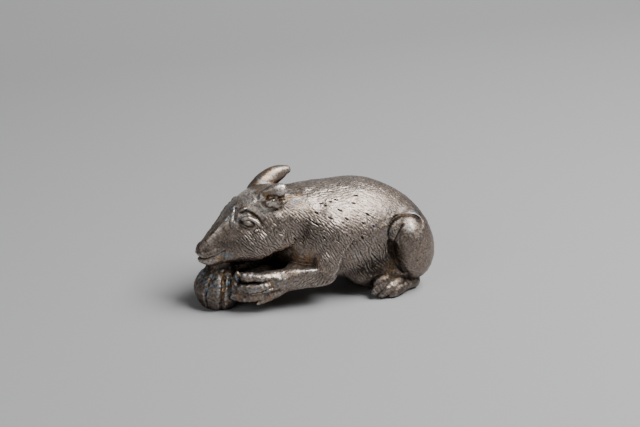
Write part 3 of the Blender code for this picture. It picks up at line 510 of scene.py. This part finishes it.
def coat(P, N):
    """How strongly the coat is cut at each point, 0 to 1."""
    x, z = P[:, 0], P[:, 2]
    m = np.ones(len(P), f32)
    m *= 1 - blob(P, 14.6, 8.4, 4.9, 7.2, -13, 0.2)  # the thigh
    m *= 1 - 0.75 * ramp(x, 14.5, 17.5)  # the rump
    m *= 1 - 0.7 * blob(P, 9.0, 13.0, 2.2, 2.6, 0, 0.8)
    m *= 1 - ramp(x, 5.5, 8.0) * (1 - ramp(z, 4.6, 5.8))  # the hind foot
    forearm = (1 - ramp(x, -3.5, -1.5)) * (1 - ramp(z, 7.0, 7.5))
    m = np.where(forearm > 0.5, (0.5 + 1.3 * ramp(x, -9.5, -4.0)) * (1 - ramp(-N[:, 2], 0.6, 0.95)) * (1 - 0.9 * ramp(N[:, 2], 0.5, 0.8)) * ramp(x, -11.0, -9.5), m)
    m *= 1 - blob(P, -5.6, 9.2, 2.6, 2.2, 0, 0.5) * 0.8  # the chest
    m *= 1 - 0.85 * (1 - ramp(x, -17.0, -14.5)) * (1 - (forearm > 0.5))
    m *= 1 + 0.25 * blob(P, -11.5, 11.6, 4.2, 2.6, -20, 0.8)  # the cheek
    m *= 1 - 0.4 * blob(P, -10.0, 16.2, 2.4, 2.2, 0, 0.8)  # below the short ear
    m *= 1 - 0.6 * blob(P, 6.5, 4.2, 3.0, 1.8, 0, 0.8)  # low on the flank
    m *= 1 - 0.85 * (1 - ramp(x, -11.0, -8.0)) * ramp(z, 16.0, 17.5)  # forehead
    m *= 1 - 0.9 * blob(P, -14.1, 16.0, 2.3, 1.7, 0, 0.4)  # eye
    m *= 1 - 0.6 * ramp(-N[:, 2], 0.45, 0.9)  # undersides
    m *= 1 - ramp(P[:, 1], 1.2, 2.2) * (1 - ramp(x, -5.0, -3.8)) * ramp(z, 18.9, 19.6)  # the ears
    m *= 1 - blob(P, -10.0, 20.6, 3.2, 2.1, 20, 0.2)
    return m


def strokes(P, N, amount):
    """The places of the strokes: evenly scattered along the coat's lie, closer across it than along it."""
    order = rng.permutation(len(P))
    D = lie(P, N)
    tree = kdtree.KDTree(len(P))
    taken = np.zeros(len(P), bool)
    for i, p in enumerate(P):
        tree.insert(p, i)
    tree.balance()
    chosen = []
    for i in order:
        if taken[i] or amount[i] < 0.06:
            continue
        chosen.append(i)
        p, d = P[i], D[i]
        near = np.array([k for _, k, _ in tree.find_range(p, 1.9)])
        r = P[near] - p
        along = r @ d
        across2 = (r * r).sum(1) - along * along
        long, wide = coarse(p)
        inside = (along / (1.1 * long)) ** 2 + across2 / (0.39 * wide) ** 2 < 1
        taken[near[inside]] = True
    return np.array(chosen), D, tree


def coarse(p):
    """How much longer and how much wider apart the strokes are than usual, on the flank and on the cheek."""
    flank = math.exp(-((p[0] - 5.5) / 3.5) ** 2 - ((p[2] - 8.5) / 3.5) ** 2)
    cheek = math.exp(-((p[0] + 12.0) / 3.0) ** 2 - ((p[2] - 12.0) / 2.5) ** 2)
    return 0.95 + 0.5 * flank + 0.4 * cheek, 0.9 + 0.45 * flank


def cut_coat(P, N):
    """How far each point is sunk by the coat's strokes."""
    amount = coat(P, N)
    chosen, D, tree = strokes(P, N, amount)
    depth = np.zeros(len(P), f32)
    lip = np.zeros(len(P), f32)
    size = rng.uniform(0.65, 1.35, (len(chosen), 3))
    turn = rng.normal(0, 0.22, len(chosen))
    # cut more strongly where the metal faces away from above, softer on the rubbed back
    shade = 1 - ramp(N @ np.array([0.45, -0.3, 0.84], f32), 0.3, 0.8)
    for j, i in enumerate(chosen):
        p, n, d = P[i], N[i], D[i]
        b = np.cross(n, d)
        c, s = math.cos(turn[j]), math.sin(turn[j])
        d, b = c * d + s * b, c * b - s * d
        long, apart = coarse(p)
        heavy = 1.0 + 0.6 * math.exp(-((p[0] - 5) / 3.0) ** 2 - ((p[2] - 9.0) / 3.0) ** 2)
        half, wide = 0.72 * long * size[j, 0], 0.09 * size[j, 1] * (0.8 + 0.2 * apart)
        near = np.array([k for _, k, _ in tree.find_range(p, 1.7)])
        r = P[near] - p
        u, v = r @ d / half, r @ b
        v = v - 0.08 * u * u * (1 if size[j, 2] > 1 else -1)
        ok = (np.abs(u) < 1) & (np.abs(v) < 0.42) & (np.abs(r @ n) < 0.5)
        near, u, v = near[ok], u[ok], v[ok]
        taper = np.clip(1 - u, 0, 1) ** 0.7 * np.clip((1 + u) * 2.2, 0, 1)
        deep = (0.062 + 0.045 * shade[i]) * amount[i] * heavy * size[j, 2]
        g = deep * taper * np.exp(-(v / wide) ** 2)
        depth[near] = np.maximum(depth[near], g)
        lip[near] += (0.14 + 0.36 * shade[i]) * deep * taper * np.exp(-((np.abs(v) - 2.1 * wide) / (0.9 * wide)) ** 2)
    return depth, np.minimum(lip, 0.05), len(chosen)


# the punch marks on the back and flank: x, z on the near side
PUNCHED = [
    (-2.7, 19.4), (-1.6, 19.1), (1.0, 19.1), (3.2, 19.2), (4.9, 18.4), (1.2, 18.2), (0.0, 18.1), (-1.6, 18.0), (-1.1, 17.8), (4.0, 17.5),
    (1.3, 17.0), (-2.9, 16.8), (-0.9, 16.1), (2.1, 15.6), (5.0, 14.4), (-3.6, 15.4), (-3.1, 15.2), (6.1, 15.7), (6.9, 13.7), (1.7, 13.1),
    (4.6, 12.2), (-2.3, 13.0), (-0.1, 12.4), (-6.6, 12.4),
]


def punch(P, N, D):
    """How far each point is sunk, and lifted round the edge, by the punch marks on both sides."""
    down = np.zeros(len(P), f32)
    for k, (x, z) in enumerate(PUNCHED * 2):
        side = -1 if k < len(PUNCHED) else 1
        if side > 0:  # the far side's are scattered the same way, moved a little
            x, z = x + rng.uniform(-1.2, 1.2), z + rng.uniform(-0.8, 0.8)
        ok = np.where((P[:, 1] * side > 0.3) & (np.abs(P[:, 0] - x) < 1.2) & (np.abs(P[:, 2] - z) < 1.2))[0]
        if not len(ok):
            continue
        q = P[ok]
        near = np.argmin((q[:, 0] - x) ** 2 + (q[:, 2] - z) ** 2)
        p, n, d = q[near], N[ok][near], D[ok][near]
        b = np.cross(n, d)
        r = q - p
        long, wide = rng.uniform(0.30, 0.42), rng.uniform(0.13, 0.17)
        e = (r @ d / long) ** 2 + (r @ b / wide) ** 2
        near = np.abs(r @ n) < 0.6
        hit = np.exp(-e ** 1.4) * 0.20 - 0.055 * np.exp(-((np.sqrt(e) - 1.75) / 0.42) ** 2) * (0.5 + 0.5 * np.clip(-(r @ d) / long, -1, 1))
        down[ok] += np.where(near, hit, 0)
    return down


def soft_grid(F, axes):
    """The form between the points of a coarse grid."""
    def at(P):
        g = [np.clip((P[:, k] - axes[k][0]) / (axes[k][1] - axes[k][0]), 0, len(axes[k]) - 1.001) for k in range(3)]
        i = [a.astype(int) for a in g]
        t = [a - b for a, b in zip(g, i)]
        out = 0
        for a in (0, 1):
            for b in (0, 1):
                for c in (0, 1):
                    w = (t[0] if a else 1 - t[0]) * (t[1] if b else 1 - t[1]) * (t[2] if c else 1 - t[2])
                    out = out + w * F[i[0] + a, i[1] + b, i[2] + c]
        return out
    return at


def mixed(a, b, t):
    t = np.clip(t, 0, 1)[:, None]
    return a * (1 - t) + np.array(b, f32) * t


LO, HI = (-24.2, -10.8, -0.6), (21.2, 10.8, 23.6)


def mouse_mesh():
    F0, axes0 = sampled(LO, HI, (0.6,))
    F, axes = sampled(LO, HI, (0.6, 2 * FINE, FINE))
    P, Q = nets(F, axes)
    P, N = settled(P)
    print("sampled", len(P), "points")
    e, count = neighbours(Q, len(P))
    N0 = spread(N, e, count, 3)
    N0 /= np.linalg.norm(N0, axis=1)[:, None]

    # hollow: how much of the space above each point the figure itself fills
    coarse = soft_grid(F0, axes0)
    hollow = np.zeros(len(P))
    for d, w in ((0.6, 0.2), (1.2, 0.3), (2.2, 0.3), (3.6, 0.2)):
        hollow += w * np.clip(1 - coarse(P + N0 * d) / d, 0, 1.6)
    hollow = spread(hollow, e, count, 2)

    # relief, all of it pushed along the smoothed normal
    D = lie(P, N0)
    cut, lip, n = cut_coat(P, N0)
    print("cut", n, "strokes")
    holes = punch(P, N0, D)
    smooth = 1 - coat(P, N0)
    wavy = 0.035 * waves(P, 2.6, 5) * (1 - 0.7 * ramp(P[:, 0], -2.0, 6.0)) + 0.016 * waves(P, 1.1, 6) * (0.4 + 0.6 * smooth) + 0.008 * waves(P, 0.55, 7) + 0.005 * waves(P, 0.36, 8)
    lumpy = blob(P, -16.5, 4.5, 7.0, 3.6, 0, 0.3) + 0.4 * blob(P, 9.8, 2.4, 4.2, 2.6, 0, 0.4) + 0.8 * (P[:, 1] < 0) * blob(P, -10.0, 20.2, 3.2, 2.2, 15, 0.4) + 0.5 * blob(P, -18.6, 14.6, 4.0, 0.7, 53, 0.5)
    wavy = wavy * (1 - 0.6 * ramp(P[:, 1], 1.0, 2.0) * (1 - ramp(P[:, 0], -4.5, -3.8)) * ramp(P[:, 2], 18.6, 19.6))  # the far ear is smoother
    wavy = wavy + 0.03 * np.clip(lumpy, 0, 1) * waves(P, 0.85, 12)
    floor = ramp(P[:, 2], 0.03, 0.5)
    eyeball = blob(P, -14.2, 15.8, 1.3, 0.9, 0, 0.4)
    shift = (-cut + lip - holes + wavy * (1 - 0.8 * eyeball)) * floor
    P2 = P + N0 * shift[:, None].astype(f32)
    P2[:, 2] = np.maximum(P2[:, 2], 0)

    # worn: where the surface stands out from what is round it
    N2 = faces_normals(P2, Q)
    fine = ((P2 - spread(P2, e, count, 4)) * N2).sum(1)
    broad = ((P2 - spread(P2, e, count, 24)) * N2).sum(1)
    return P2, Q, N2, dict(P=P, hollow=hollow, cut=cut, holes=holes, fine=fine, broad=broad, smooth=smooth)


def colours(P, N, m):
    """The colour and the gloss of every point: patina and wear, with painted shade and painted highlights in the
    colour.
    """
    base = np.tile(np.array(SILVER, f32), (len(P), 1))
    cloud = 0.5 + 0.5 * np.clip(0.6 * waves(m["P"], 5.0, 21) + 0.4 * waves(m["P"], 1.6, 22), -1.4, 1.4)
    base = mixed(base, BROWN, 0.45 * cloud)
    # the fruit is darker: its heavier patina, and painted shade because it faces away from the light
    low = (1 - ramp(m["P"][:, 0], -16.5, -14.0)) * (1 - ramp(m["P"][:, 2], 6.8, 8.2))  # the fruit
    # darker in hollows and broad dips: partly the patina gathered there, partly painted shade where the figure shuts
    # out the light; darker in the chased cuts with their patina
    dark = 0.62 * low + np.clip(1.4 * (m["hollow"] - 0.36), 0, 1) + np.clip(-m["fine"] * 14, 0, 0.6) + np.clip(-m["broad"] * 1.6, 0, 0.5)
    # less of the painted shade and patina on the near ear and on the top of the foreleg
    dark *= 1 - 0.7 * blob(m["P"], -10.6, 20.0, 3.8, 2.6, 10, 0.4)  # the near ear
    dark *= 1 - 0.6 * blob(m["P"], -5.0, 7.3, 4.2, 1.4, 0, 0.5)  # the top of the foreleg
    # patches of painted shade and painted highlights, a few of them the patina's own darker and lighter places
    for x, z, rx, rz, turn, amount, side in PAINTED_SHADE_AND_LIGHT:
        here = 1 if side == 0 else ramp(side * m["P"][:, 1], 0, 1)
        dark = dark + amount * here * blob(m["P"], x, z, rx, rz, turn, 1.0)
    # painted shade between the forelegs, under the chin
    q = m["P"]
    dark = dark + 0.75 * (1 - ramp(np.abs(q[:, 1]), 3.8, 4.8)) * ramp(q[:, 0], -15.5, -14) * (1 - ramp(q[:, 0], -10, -4)) * (1 - ramp(q[:, 2], 7.0, 7.8))
    dark = dark + np.clip(m["holes"] * 7, 0, 0.9)
    line_shade_and_light = np.zeros(len(P), f32)
    for path, width, amount, out in LINES_OF_SHADE_AND_LIGHT:
        c = np.array(path, float)
        lo, hi = c.min(0) - 3 * width, c.max(0) + 3 * width
        q = m["P"]
        ok = np.where((q[:, 0] > lo[0]) & (q[:, 0] < hi[0]) & (q[:, 2] > lo[1]) & (q[:, 2] < hi[1]) & (np.abs(q[:, 1]) > out))[0]
        s, t = edge(q[ok], path)
        line_shade_and_light[ok] += amount * np.exp(-(s / width) ** 2) * ramp(t, 0, 0.12) * (1 - ramp(t, 0.88, 1))
    # painted shade and the patina's dark mixed in; where the sum is below zero, painted highlights
    base = mixed(base, SHADE_AND_PATINA, 0.85 * dark)
    base = mixed(base, BRIGHT, np.clip(-dark, 0, 1))
    worn = np.clip(m["fine"] * 9 - 0.05, 0, 0.4) + np.clip(m["broad"] * 1.6 - 0.08, 0, 0.4)
    base = mixed(base, BRIGHT, worn * (1 - np.clip(m["hollow"], 0, 1)))
    # thin blue and amber films, in patches along hollows and edges
    patch = ramp(waves(m["P"], 1.3, 31), 0.0, 0.9)
    edgy = np.clip(np.abs(m["broad"]) * 5 + np.abs(m["fine"]) * 9, 0, 1)
    for x, z, rx, rz, turn, blue, amber, *side in FILMS:
        near = blob(m["P"], x, z, rx, rz, turn, 0.9) * (ramp(side[0] * m["P"][:, 1], 0, 1) if side else 1)
        base = mixed(base, BLUE, blue * near * patch * (0.12 + 0.88 * edgy))
        base = mixed(base, AMBER, amber * near * ramp(waves(m["P"], 2.4, 33), -0.9, 0.6) * (0.3 + 0.7 * (1 - patch)))
    # painted shade along creases and grooves, with the patina in them, and painted highlights along ridges and edges
    base = mixed(base, SHADE_AND_PATINA, 0.9 * line_shade_and_light)
    base = mixed(base, BRIGHT, np.clip(-line_shade_and_light, 0, 1) * (0.6 + 0.4 * np.clip(waves(m["P"], 0.8, 41), -1, 1)))
    gloss = 0.27 + 0.07 * cloud + 0.10 * np.clip(dark, 0, 1) - 0.08 * np.clip(worn, 0, 1)
    return np.clip(base, 0.01, 1), np.clip(gloss, 0.2, 0.75)


# ---- the metal's colours ----------------------------------------------------------------------------------------
SILVER = (0.268, 0.220, 0.188)
BROWN = (0.186, 0.141, 0.112)
# the dark colour stands for both the patina and painted shade; BRIGHT stands for rubbed silver and painted highlights
SHADE_AND_PATINA = (0.035, 0.025, 0.019)
BRIGHT = (0.60, 0.55, 0.505)
BLUE = (0.17, 0.28, 0.37)
AMBER = (0.235, 0.155, 0.085)
# darker and lighter areas, mostly painted shade and painted highlights, some of them patina: x, z, two radii, turn,
# how much darker (below 0 lighter), and the side
PAINTED_SHADE_AND_LIGHT = [
    (-17.2, 13.0, 3.2, 1.7, 20, 0.45, 0), (-14.8, 18.6, 2.4, 1.8, 0, -0.3, 0), (-11.0, 18.0, 2.8, 1.6, 0, -0.3, 0), (-13.6, 19.2, 2.4, 0.9, -15, -0.25, 0),
    (8.0, 6.2, 4.0, 1.8, 0, 0.75, 0), (10.6, 8.0, 1.5, 3.6, 10, 0.55, 0), (9.8, 2.3, 3.8, 2.4, 0, 0.6, 0), (-10.4, 20.2, 3.2, 2.2, 10, -0.05, -1),
    (-19.4, 5.8, 3.0, 1.5, 0, 0.4, 0), (-18.3, 6.3, 2.0, 1.2, 0, 0.6, 0), (-21.7, 10.9, 1.0, 1.1, 0, 0.6, 0), (-18.6, 14.6, 4.2, 0.5, 53, -0.1, 0), (-16.5, 12.2, 2.6, 2.2, 0, 0.12, 0),
    (13.3, 12.5, 0.8, 0.8, 0, -0.95, 0), (15.0, 13.0, 0.7, 1.0, 0, 0.45, 0), (15.5, 13.7, 1.0, 0.9, 0, 0.4, 0), (12.5, 14.3, 1.5, 0.6, 0, 0.5, 0),
    (-12.4, 18.6, 1.0, 0.6, 0, -0.3, -1), (-1.8, 16.3, 3.2, 0.9, 0, 0.16, 0), (-18.8, 5.7, 0.7, 1.6, 0, 0.4, 0), (-17.3, 4.5, 0.8, 0.8, 0, -0.35, 0),
    (-7.6, 6.9, 2.2, 0.5, 0, 0.3, 0), (12.0, 3.8, 0.9, 0.7, 0, 0.45, 0), (12.0, 13.9, 1.6, 0.5, 5, 0.45, 0), (5.8, 4.6, 2.6, 1.6, 0, 0.2, 0),
    (-6.0, 20.0, 2.2, 0.6, 13, 0.6, 1), (-10.9, 20.0, 1.7, 1.2, 20, 0.5, 1), (11.6, 8.6, 0.9, 2.0, 10, 0.3, 0), (5.5, 4.8, 2.6, 1.5, 0, 0.4, 0),
    (8.6, 8.8, 1.7, 2.8, 0, 0.3, 0), (15.0, 14.6, 2.6, 1.1, -25, 0.3, 0), (11.0, 12.3, 1.3, 1.8, -35, 0.5, 0), (12.5, 2.0, 1.8, 1.6, 0, 0.3, 0),
    (2.0, 19.8, 7.0, 1.1, 0, -0.22, 0), (-12.0, 18.8, 2.6, 1.2, -20, -0.6, 0), (-12.6, 19.6, 1.0, 0.8, 0, -0.5, -1), (-19.6, 11.6, 1.8, 1.3, 40, 0.15, 0), (-10.2, 15.7, 1.8, 1.8, 0, 0.32, 0), (-2.6, 13.8, 2.6, 2.4, 0, 0.28, 0), (-8.9, 21.9, 1.2, 0.9, 0, -0.95, -1), (-12.0, 20.3, 0.6, 0.5, 0, -0.3, -1), (-10.9, 21.0, 1.4, 0.5, 22, 0.3, -1),
    (-10.4, 19.5, 0.9, 0.5, 0, -0.35, -1), (-9.8, 20.4, 2.4, 0.9, 25, 0.4, 1), (-15.5, 15.9, 0.5, 0.45, 0, 0.9, 0), (-13.6, 4.9, 1.9, 0.6, 0, -0.35, 0),
    (-14.5, 6.9, 2.2, 0.6, 0, -0.2, 0), (12.3, 9.6, 1.5, 3.0, -10, 0.2, 0), (-4.6, 13.0, 1.2, 2.6, -12, 0.25, 0), (-5.6, 17.4, 2.6, 1.8, -20, 0.36, 0), (16.3, 13.0, 1.2, 1.6, 0, 0.4, 0), (11.7, 13.1, 1.1, 0.9, 0, 0.5, 0),
    (-8.1, 20.0, 1.2, 0.8, 20, 1.1, -1), (-10.4, 19.8, 0.8, 0.7, 0, -0.4, -1), (-12.2, 20.6, 0.6, 0.5, 0, -0.4, -1), (-10.3, 18.4, 1.8, 0.45, -10, 0.6, -1),
    (16.0, 1.5, 1.5, 1.7, 0, 0.7, 0), (-6.5, 18.4, 1.2, 0.9, 0, 0.45, 0), (9.8, 4.2, 1.5, 0.9, 0, 0.4, 0), (10.4, 2.2, 1.7, 0.8, 0, -0.6, 0), (-5.3, 7.7, 2.0, 0.8, 0, -0.5, 0), (-17.3, 15.9, 0.8, 1.3, -30, -0.3, 0),
]
# darker and lighter lines, the dark ones along creases and grooves painted shade with their patina, the light ones
# along ridges and edges painted highlights with some rubbed wear: the x, z they run through, half width, how much
# darker, and how far from the middle they start
LINES_OF_SHADE_AND_LIGHT = [
    ([(9.6, 11.0), (9.6, 12.2), (10.05, 13.2), (11.0, 14.0), (12.1, 14.35), (13.2, 14.4), (14.2, 14.25), (15.2, 13.9), (15.9, 13.4), (16.4, 12.8)], 0.26, 1.0, 5.0),
    ([(10.6, 10.4), (11.25, 11.5), (12.0, 12.6), (12.75, 13.4)], 0.2, 0.7, 5.0),
    ([(-15.2, 16.3), (-14.76, 16.65), (-14.3, 16.7), (-13.6, 16.42), (-12.95, 15.85), (-12.5, 15.3)], 0.27, -0.9, 2.5),
    ([(-15.2, 15.7), (-14.9, 15.35), (-14.24, 15.1), (-13.6, 15.4), (-13.35, 15.9)], 0.2, 0.45, 2.5),
    ([(-15.6, 17.0), (-14.9, 17.4), (-14.1, 17.45), (-13.1, 17.0), (-12.35, 16.3), (-12.0, 15.3)], 0.28, 0.55, 2.5),
    ([(-21.8, 8.45), (-21.0, 8.65), (-20.1, 8.95), (-19.4, 9.4)], 0.3, -0.45, 0.5),
    ([(-12.6, 20.2), (-11.9, 19.4), (-11.0, 18.6), (-10.0, 18.15), (-9.0, 18.0), (-8.2, 18.3), (-7.7, 19.0)], 0.24, 0.6, 2.5),
    ([(-9.4, 18.9), (-9.1, 19.6), (-8.8, 20.2)], 0.2, 0.8, 4.0),
    ([(-12.2, 20.8), (-11.2, 20.5), (-10.2, 20.5), (-9.2, 20.7), (-8.2, 20.8)], 0.2, 0.5, 4.0),
    ([(-1.8, 7.1), (-4.0, 7.25), (-6.5, 7.35), (-9.0, 7.3), (-10.8, 7.0)], 0.16, -0.5, 7.4),
    ([(2.4, 11.6), (1.3, 10.4), (0.45, 8.9), (-0.35, 7.4), (-1.25, 5.9)], 0.16, -0.5, 5.0),
    ([(0.2, 13.9), (0.15, 13.0), (0.15, 12.1)], 0.14, 0.5, 5.0),
    ([(-20.7, 12.0), (-19.7, 13.05), (-18.9, 14.05), (-17.6, 15.5), (-16.6, 16.7)], 0.16, -0.9, 0.5),
    ([(-22.3, 9.15), (-21.2, 9.25), (-20.5, 9.6), (-19.7, 10.05)], 0.14, 0.7, 0.0),
    ([(-19.3, 6.2), (-19.85, 5.3), (-20.15, 4.0), (-20.15, 2.4)], 0.15, -0.5, 2.0),
]
# x, z, two radii, turn, how blue, how amber, and the side if it is on one side only
FILMS = [
    (-9.6, 20.0, 2.6, 1.7, 20, 0.1, 0.35), (-12.6, 19.4, 3.0, 1.4, 0, 0.0, 0.3), (-5.5, 18.5, 2.2, 1.4, -20, 0.5, 0.6), (-16.2, 16.7, 0.9, 2.0, -10, 0.8, 0.2), (-13.5, 17.2, 2.2, 0.7, -20, 0.3, 0.5),
    (-18.2, 10.3, 1.0, 0.7, 30, 1.0, 0.2), (-18.4, 9.4, 0.6, 0.5, 0, 1.0, 0.3), (-19.6, 9.2, 1.0, 0.5, 30, 0.0, 0.9), (-18.6, 14.6, 3.6, 0.6, 53, 0.3, 0.5), (-20.3, 5.2, 2.4, 1.4, 20, 0.6, 0.3), (-15.0, 7.0, 3.0, 0.8, 0, 0.5, 0.4), (-11.5, 5.6, 4.0, 0.9, 8, 0.9, 0.4),
    (-12.0, 3.2, 3.5, 1.4, 0, 0.1, 0.6), (-17.5, 3.0, 1.4, 3.4, 0, 0.5, 0.6), (12.8, 14.85, 3.2, 0.5, -5, 0.55, 0.1), (15.8, 14.0, 0.9, 0.7, -35, 0.9, 0.0), (8.5, 13.0, 2.0, 1.6, 0, 0.5, 0.2),
    (-21.6, 4.6, 0.5, 2.0, 0, 1.0, 0.0), (-19.2, 4.4, 0.5, 2.0, -8, 0.0, 0.9),
    (-10.0, 20.3, 1.2, 0.6, 25, 1.0, 0.0, 1), (-11.2, 20.8, 1.5, 0.8, 22, 0.0, 1.0, -1), (-10.4, 19.2, 1.6, 0.8, 0, 0.0, 0.6, -1), (-8.2, 21.6, 1.6, 0.6, 28, 0.0, 0.6, 1), (-13.2, 17.9, 1.4, 0.5, -15, 0.0, 0.5, -1), (3.2, 8.8, 0.8, 2.2, 0, 0.35, 0.2), (-5.5, 8.8, 2.6, 1.8, 0, 0.1, 0.7), (10.5, 5.0, 2.0, 3.0, 10, 0.1, 0.3), (-5.2, 7.0, 4.0, 0.7, 0, 0.1, 0.6),
]


def material():
    mat = bpy.data.materials.new("tarnished_silver")
    mat.use_nodes = True
    nodes, links = mat.node_tree.nodes, mat.node_tree.links
    shader = nodes["Principled BSDF"]
    shader.inputs["Metallic"].default_value = 1.0
    tint = nodes.new("ShaderNodeAttribute")
    tint.attribute_name = "patina_and_painted_light"
    gloss = nodes.new("ShaderNodeAttribute")
    gloss.attribute_name = "gloss"
    place = nodes.new("ShaderNodeTexCoord")
    # specks too fine for the mesh
    specks = nodes.new("ShaderNodeTexNoise")
    specks.inputs["Scale"].default_value = 3200
    specks.inputs["Detail"].default_value = 5
    specks.inputs["Roughness"].default_value = 0.6
    links.new(place.outputs["Object"], specks.inputs["Vector"])
    shade = nodes.new("ShaderNodeMapRange")
    for name, value in (("From Min", 0.25), ("From Max", 0.75), ("To Min", 0.3), ("To Max", 1.7)):
        shade.inputs[name].default_value = value
    links.new(specks.outputs["Fac"], shade.inputs["Value"])
    colour = nodes.new("ShaderNodeVectorMath")
    colour.operation = "SCALE"
    links.new(tint.outputs["Color"], colour.inputs[0])
    links.new(shade.outputs["Result"], colour.inputs["Scale"])
    links.new(colour.outputs["Vector"], shader.inputs["Base Color"])
    add = nodes.new("ShaderNodeMath")
    add.operation = "MULTIPLY_ADD"
    links.new(specks.outputs["Fac"], add.inputs[0])
    add.inputs[1].default_value = 0.3
    links.new(gloss.outputs["Fac"], add.inputs[2])
    links.new(add.outputs[0], shader.inputs["Roughness"])
    bump = nodes.new("ShaderNodeBump")
    bump.inputs["Strength"].default_value = 0.8
    bump.inputs["Distance"].default_value = 0.00004
    links.new(specks.outputs["Fac"], bump.inputs["Height"])
    links.new(bump.outputs["Normal"], shader.inputs["Normal"])
    return mat


def build():
    P, Q, N, m = mouse_mesh()
    rgb, gloss = colours(P, N, m)
    mesh = bpy.data.meshes.new("mouse")
    tri = np.vstack([Q[:, [0, 1, 2]], Q[:, [0, 2, 3]]]).astype(np.int32)
    co = (P + np.array([SHIFT_X, 0, 0])).astype(f32)  # millimetres until it is thinned, which goes by size
    mesh.vertices.add(len(co))
    mesh.vertices.foreach_set("co", co.ravel())
    mesh.loops.add(len(tri) * 3)
    mesh.loops.foreach_set("vertex_index", tri.ravel())
    mesh.polygons.add(len(tri))
    mesh.polygons.foreach_set("loop_start", np.arange(0, len(tri) * 3, 3, dtype=np.int32))
    mesh.update(calc_edges=True)
    mesh.validate()
    a = mesh.attributes.new("patina_and_painted_light", "FLOAT_COLOR", "POINT")
    a.data.foreach_set("color", np.hstack([rgb, np.ones((len(rgb), 1))]).astype(f32).ravel())
    a = mesh.attributes.new("gloss", "FLOAT", "POINT")
    a.data.foreach_set("value", gloss.astype(f32))
    obj = bpy.data.objects.new("mouse", mesh)
    bpy.context.scene.collection.objects.link(obj)
    print("triangles before thinning", len(tri))
    if len(tri) > MOST:
        thin = obj.modifiers.new("thin", "DECIMATE")
        thin.ratio = MOST / len(tri)
        graph = bpy.context.evaluated_depsgraph_get()
        final = bpy.data.meshes.new_from_object(obj.evaluated_get(graph))
        obj.modifiers.clear()
        obj.data = final
        bpy.data.meshes.remove(mesh)
    obj.data.transform(Matrix.Scale(MM, 4))
    obj.data.name = "mouse"
    obj.data.materials.clear()
    obj.data.materials.append(material())
    obj.data.shade_smooth()
    print("triangles", len(obj.data.polygons))
    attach(obj, "root")
    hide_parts("mouse_figurine")
    return obj


# ---- floor, light and camera ------------------------------------------------------------------------------------
def flat_material(name, rgb, rough):
    mat = bpy.data.materials.new(name)
    mat.use_nodes = True
    shader = mat.node_tree.nodes["Principled BSDF"]
    shader.inputs["Base Color"].default_value = (*rgb, 1)
    shader.inputs["Roughness"].default_value = rough
    shader.inputs["Specular IOR Level"].default_value = 0.2
    return mat


def floor():
    """A pale sheet that curves up behind."""
    half, back, bend, tall = 0.55, 0.30, 0.16, 0.6
    profile = [(-0.45, 0.0), (back - bend, 0.0)]
    profile += [(back - bend + bend * math.sin(t), bend - bend * math.cos(t)) for t in np.linspace(0, math.pi / 2, 24)[1:]]
    profile += [(back, tall)]
    verts = [(x, y, z) for y, z in profile for x in (-half, half)]
    faces = [(2 * i, 2 * i + 1, 2 * i + 3, 2 * i + 2) for i in range(len(profile) - 1)]
    mesh = bpy.data.meshes.new("paper")
    mesh.from_pydata(verts, [], faces)
    mesh.shade_smooth()
    mesh.materials.append(flat_material("paper", (0.29, 0.29, 0.295), 0.9))
    obj = bpy.data.objects.new("paper", mesh)
    bpy.context.scene.collection.objects.link(obj)


def softbox(name, place, target, size, power, colour=(1, 1, 1)):
    light = bpy.data.lights.new(name, "AREA")
    light.shape = "RECTANGLE"
    light.size, light.size_y = size
    light.energy = power
    light.color = colour
    obj = bpy.data.objects.new(name, light)
    obj.location = place
    obj.rotation_euler = (Vector(target) - Vector(place)).to_track_quat("-Z", "Y").to_euler()
    bpy.context.scene.collection.objects.link(obj)


def studio():
    floor()
    softbox("over", (0.165, -0.095, 0.31), (0.0, 0.0, 0.01), (0.24, 0.20), 3.35)
    softbox("left", (-0.38, -0.21, 0.28), (0, 0, 0.01), (0.24, 0.24), 0.55)
    world = bpy.data.worlds.new("studio")
    world.use_nodes = True
    world.node_tree.nodes["Background"].inputs["Color"].default_value = (0.045, 0.045, 0.046, 1)
    world.node_tree.nodes["Background"].inputs["Strength"].default_value = 1.0
    bpy.context.scene.world = world


def camera():
    az, el, away = math.radians(-20), math.radians(22), 0.3092
    target = Vector((0.0018, 0.0, 0.014))
    back = Vector((math.sin(az) * math.cos(el), -math.cos(az) * math.cos(el), math.sin(el)))
    cam = bpy.data.cameras.new("view")
    cam.lens, cam.sensor_width, cam.sensor_fit = 100, 36, "HORIZONTAL"
    cam.clip_start = 0.01
    obj = bpy.data.objects.new("view", cam)
    obj.location = target + back * away
    obj.rotation_euler = back.to_track_quat("Z", "Y").to_euler()
    bpy.context.scene.collection.objects.link(obj)
    bpy.context.scene.camera = obj


build()
studio()
camera()
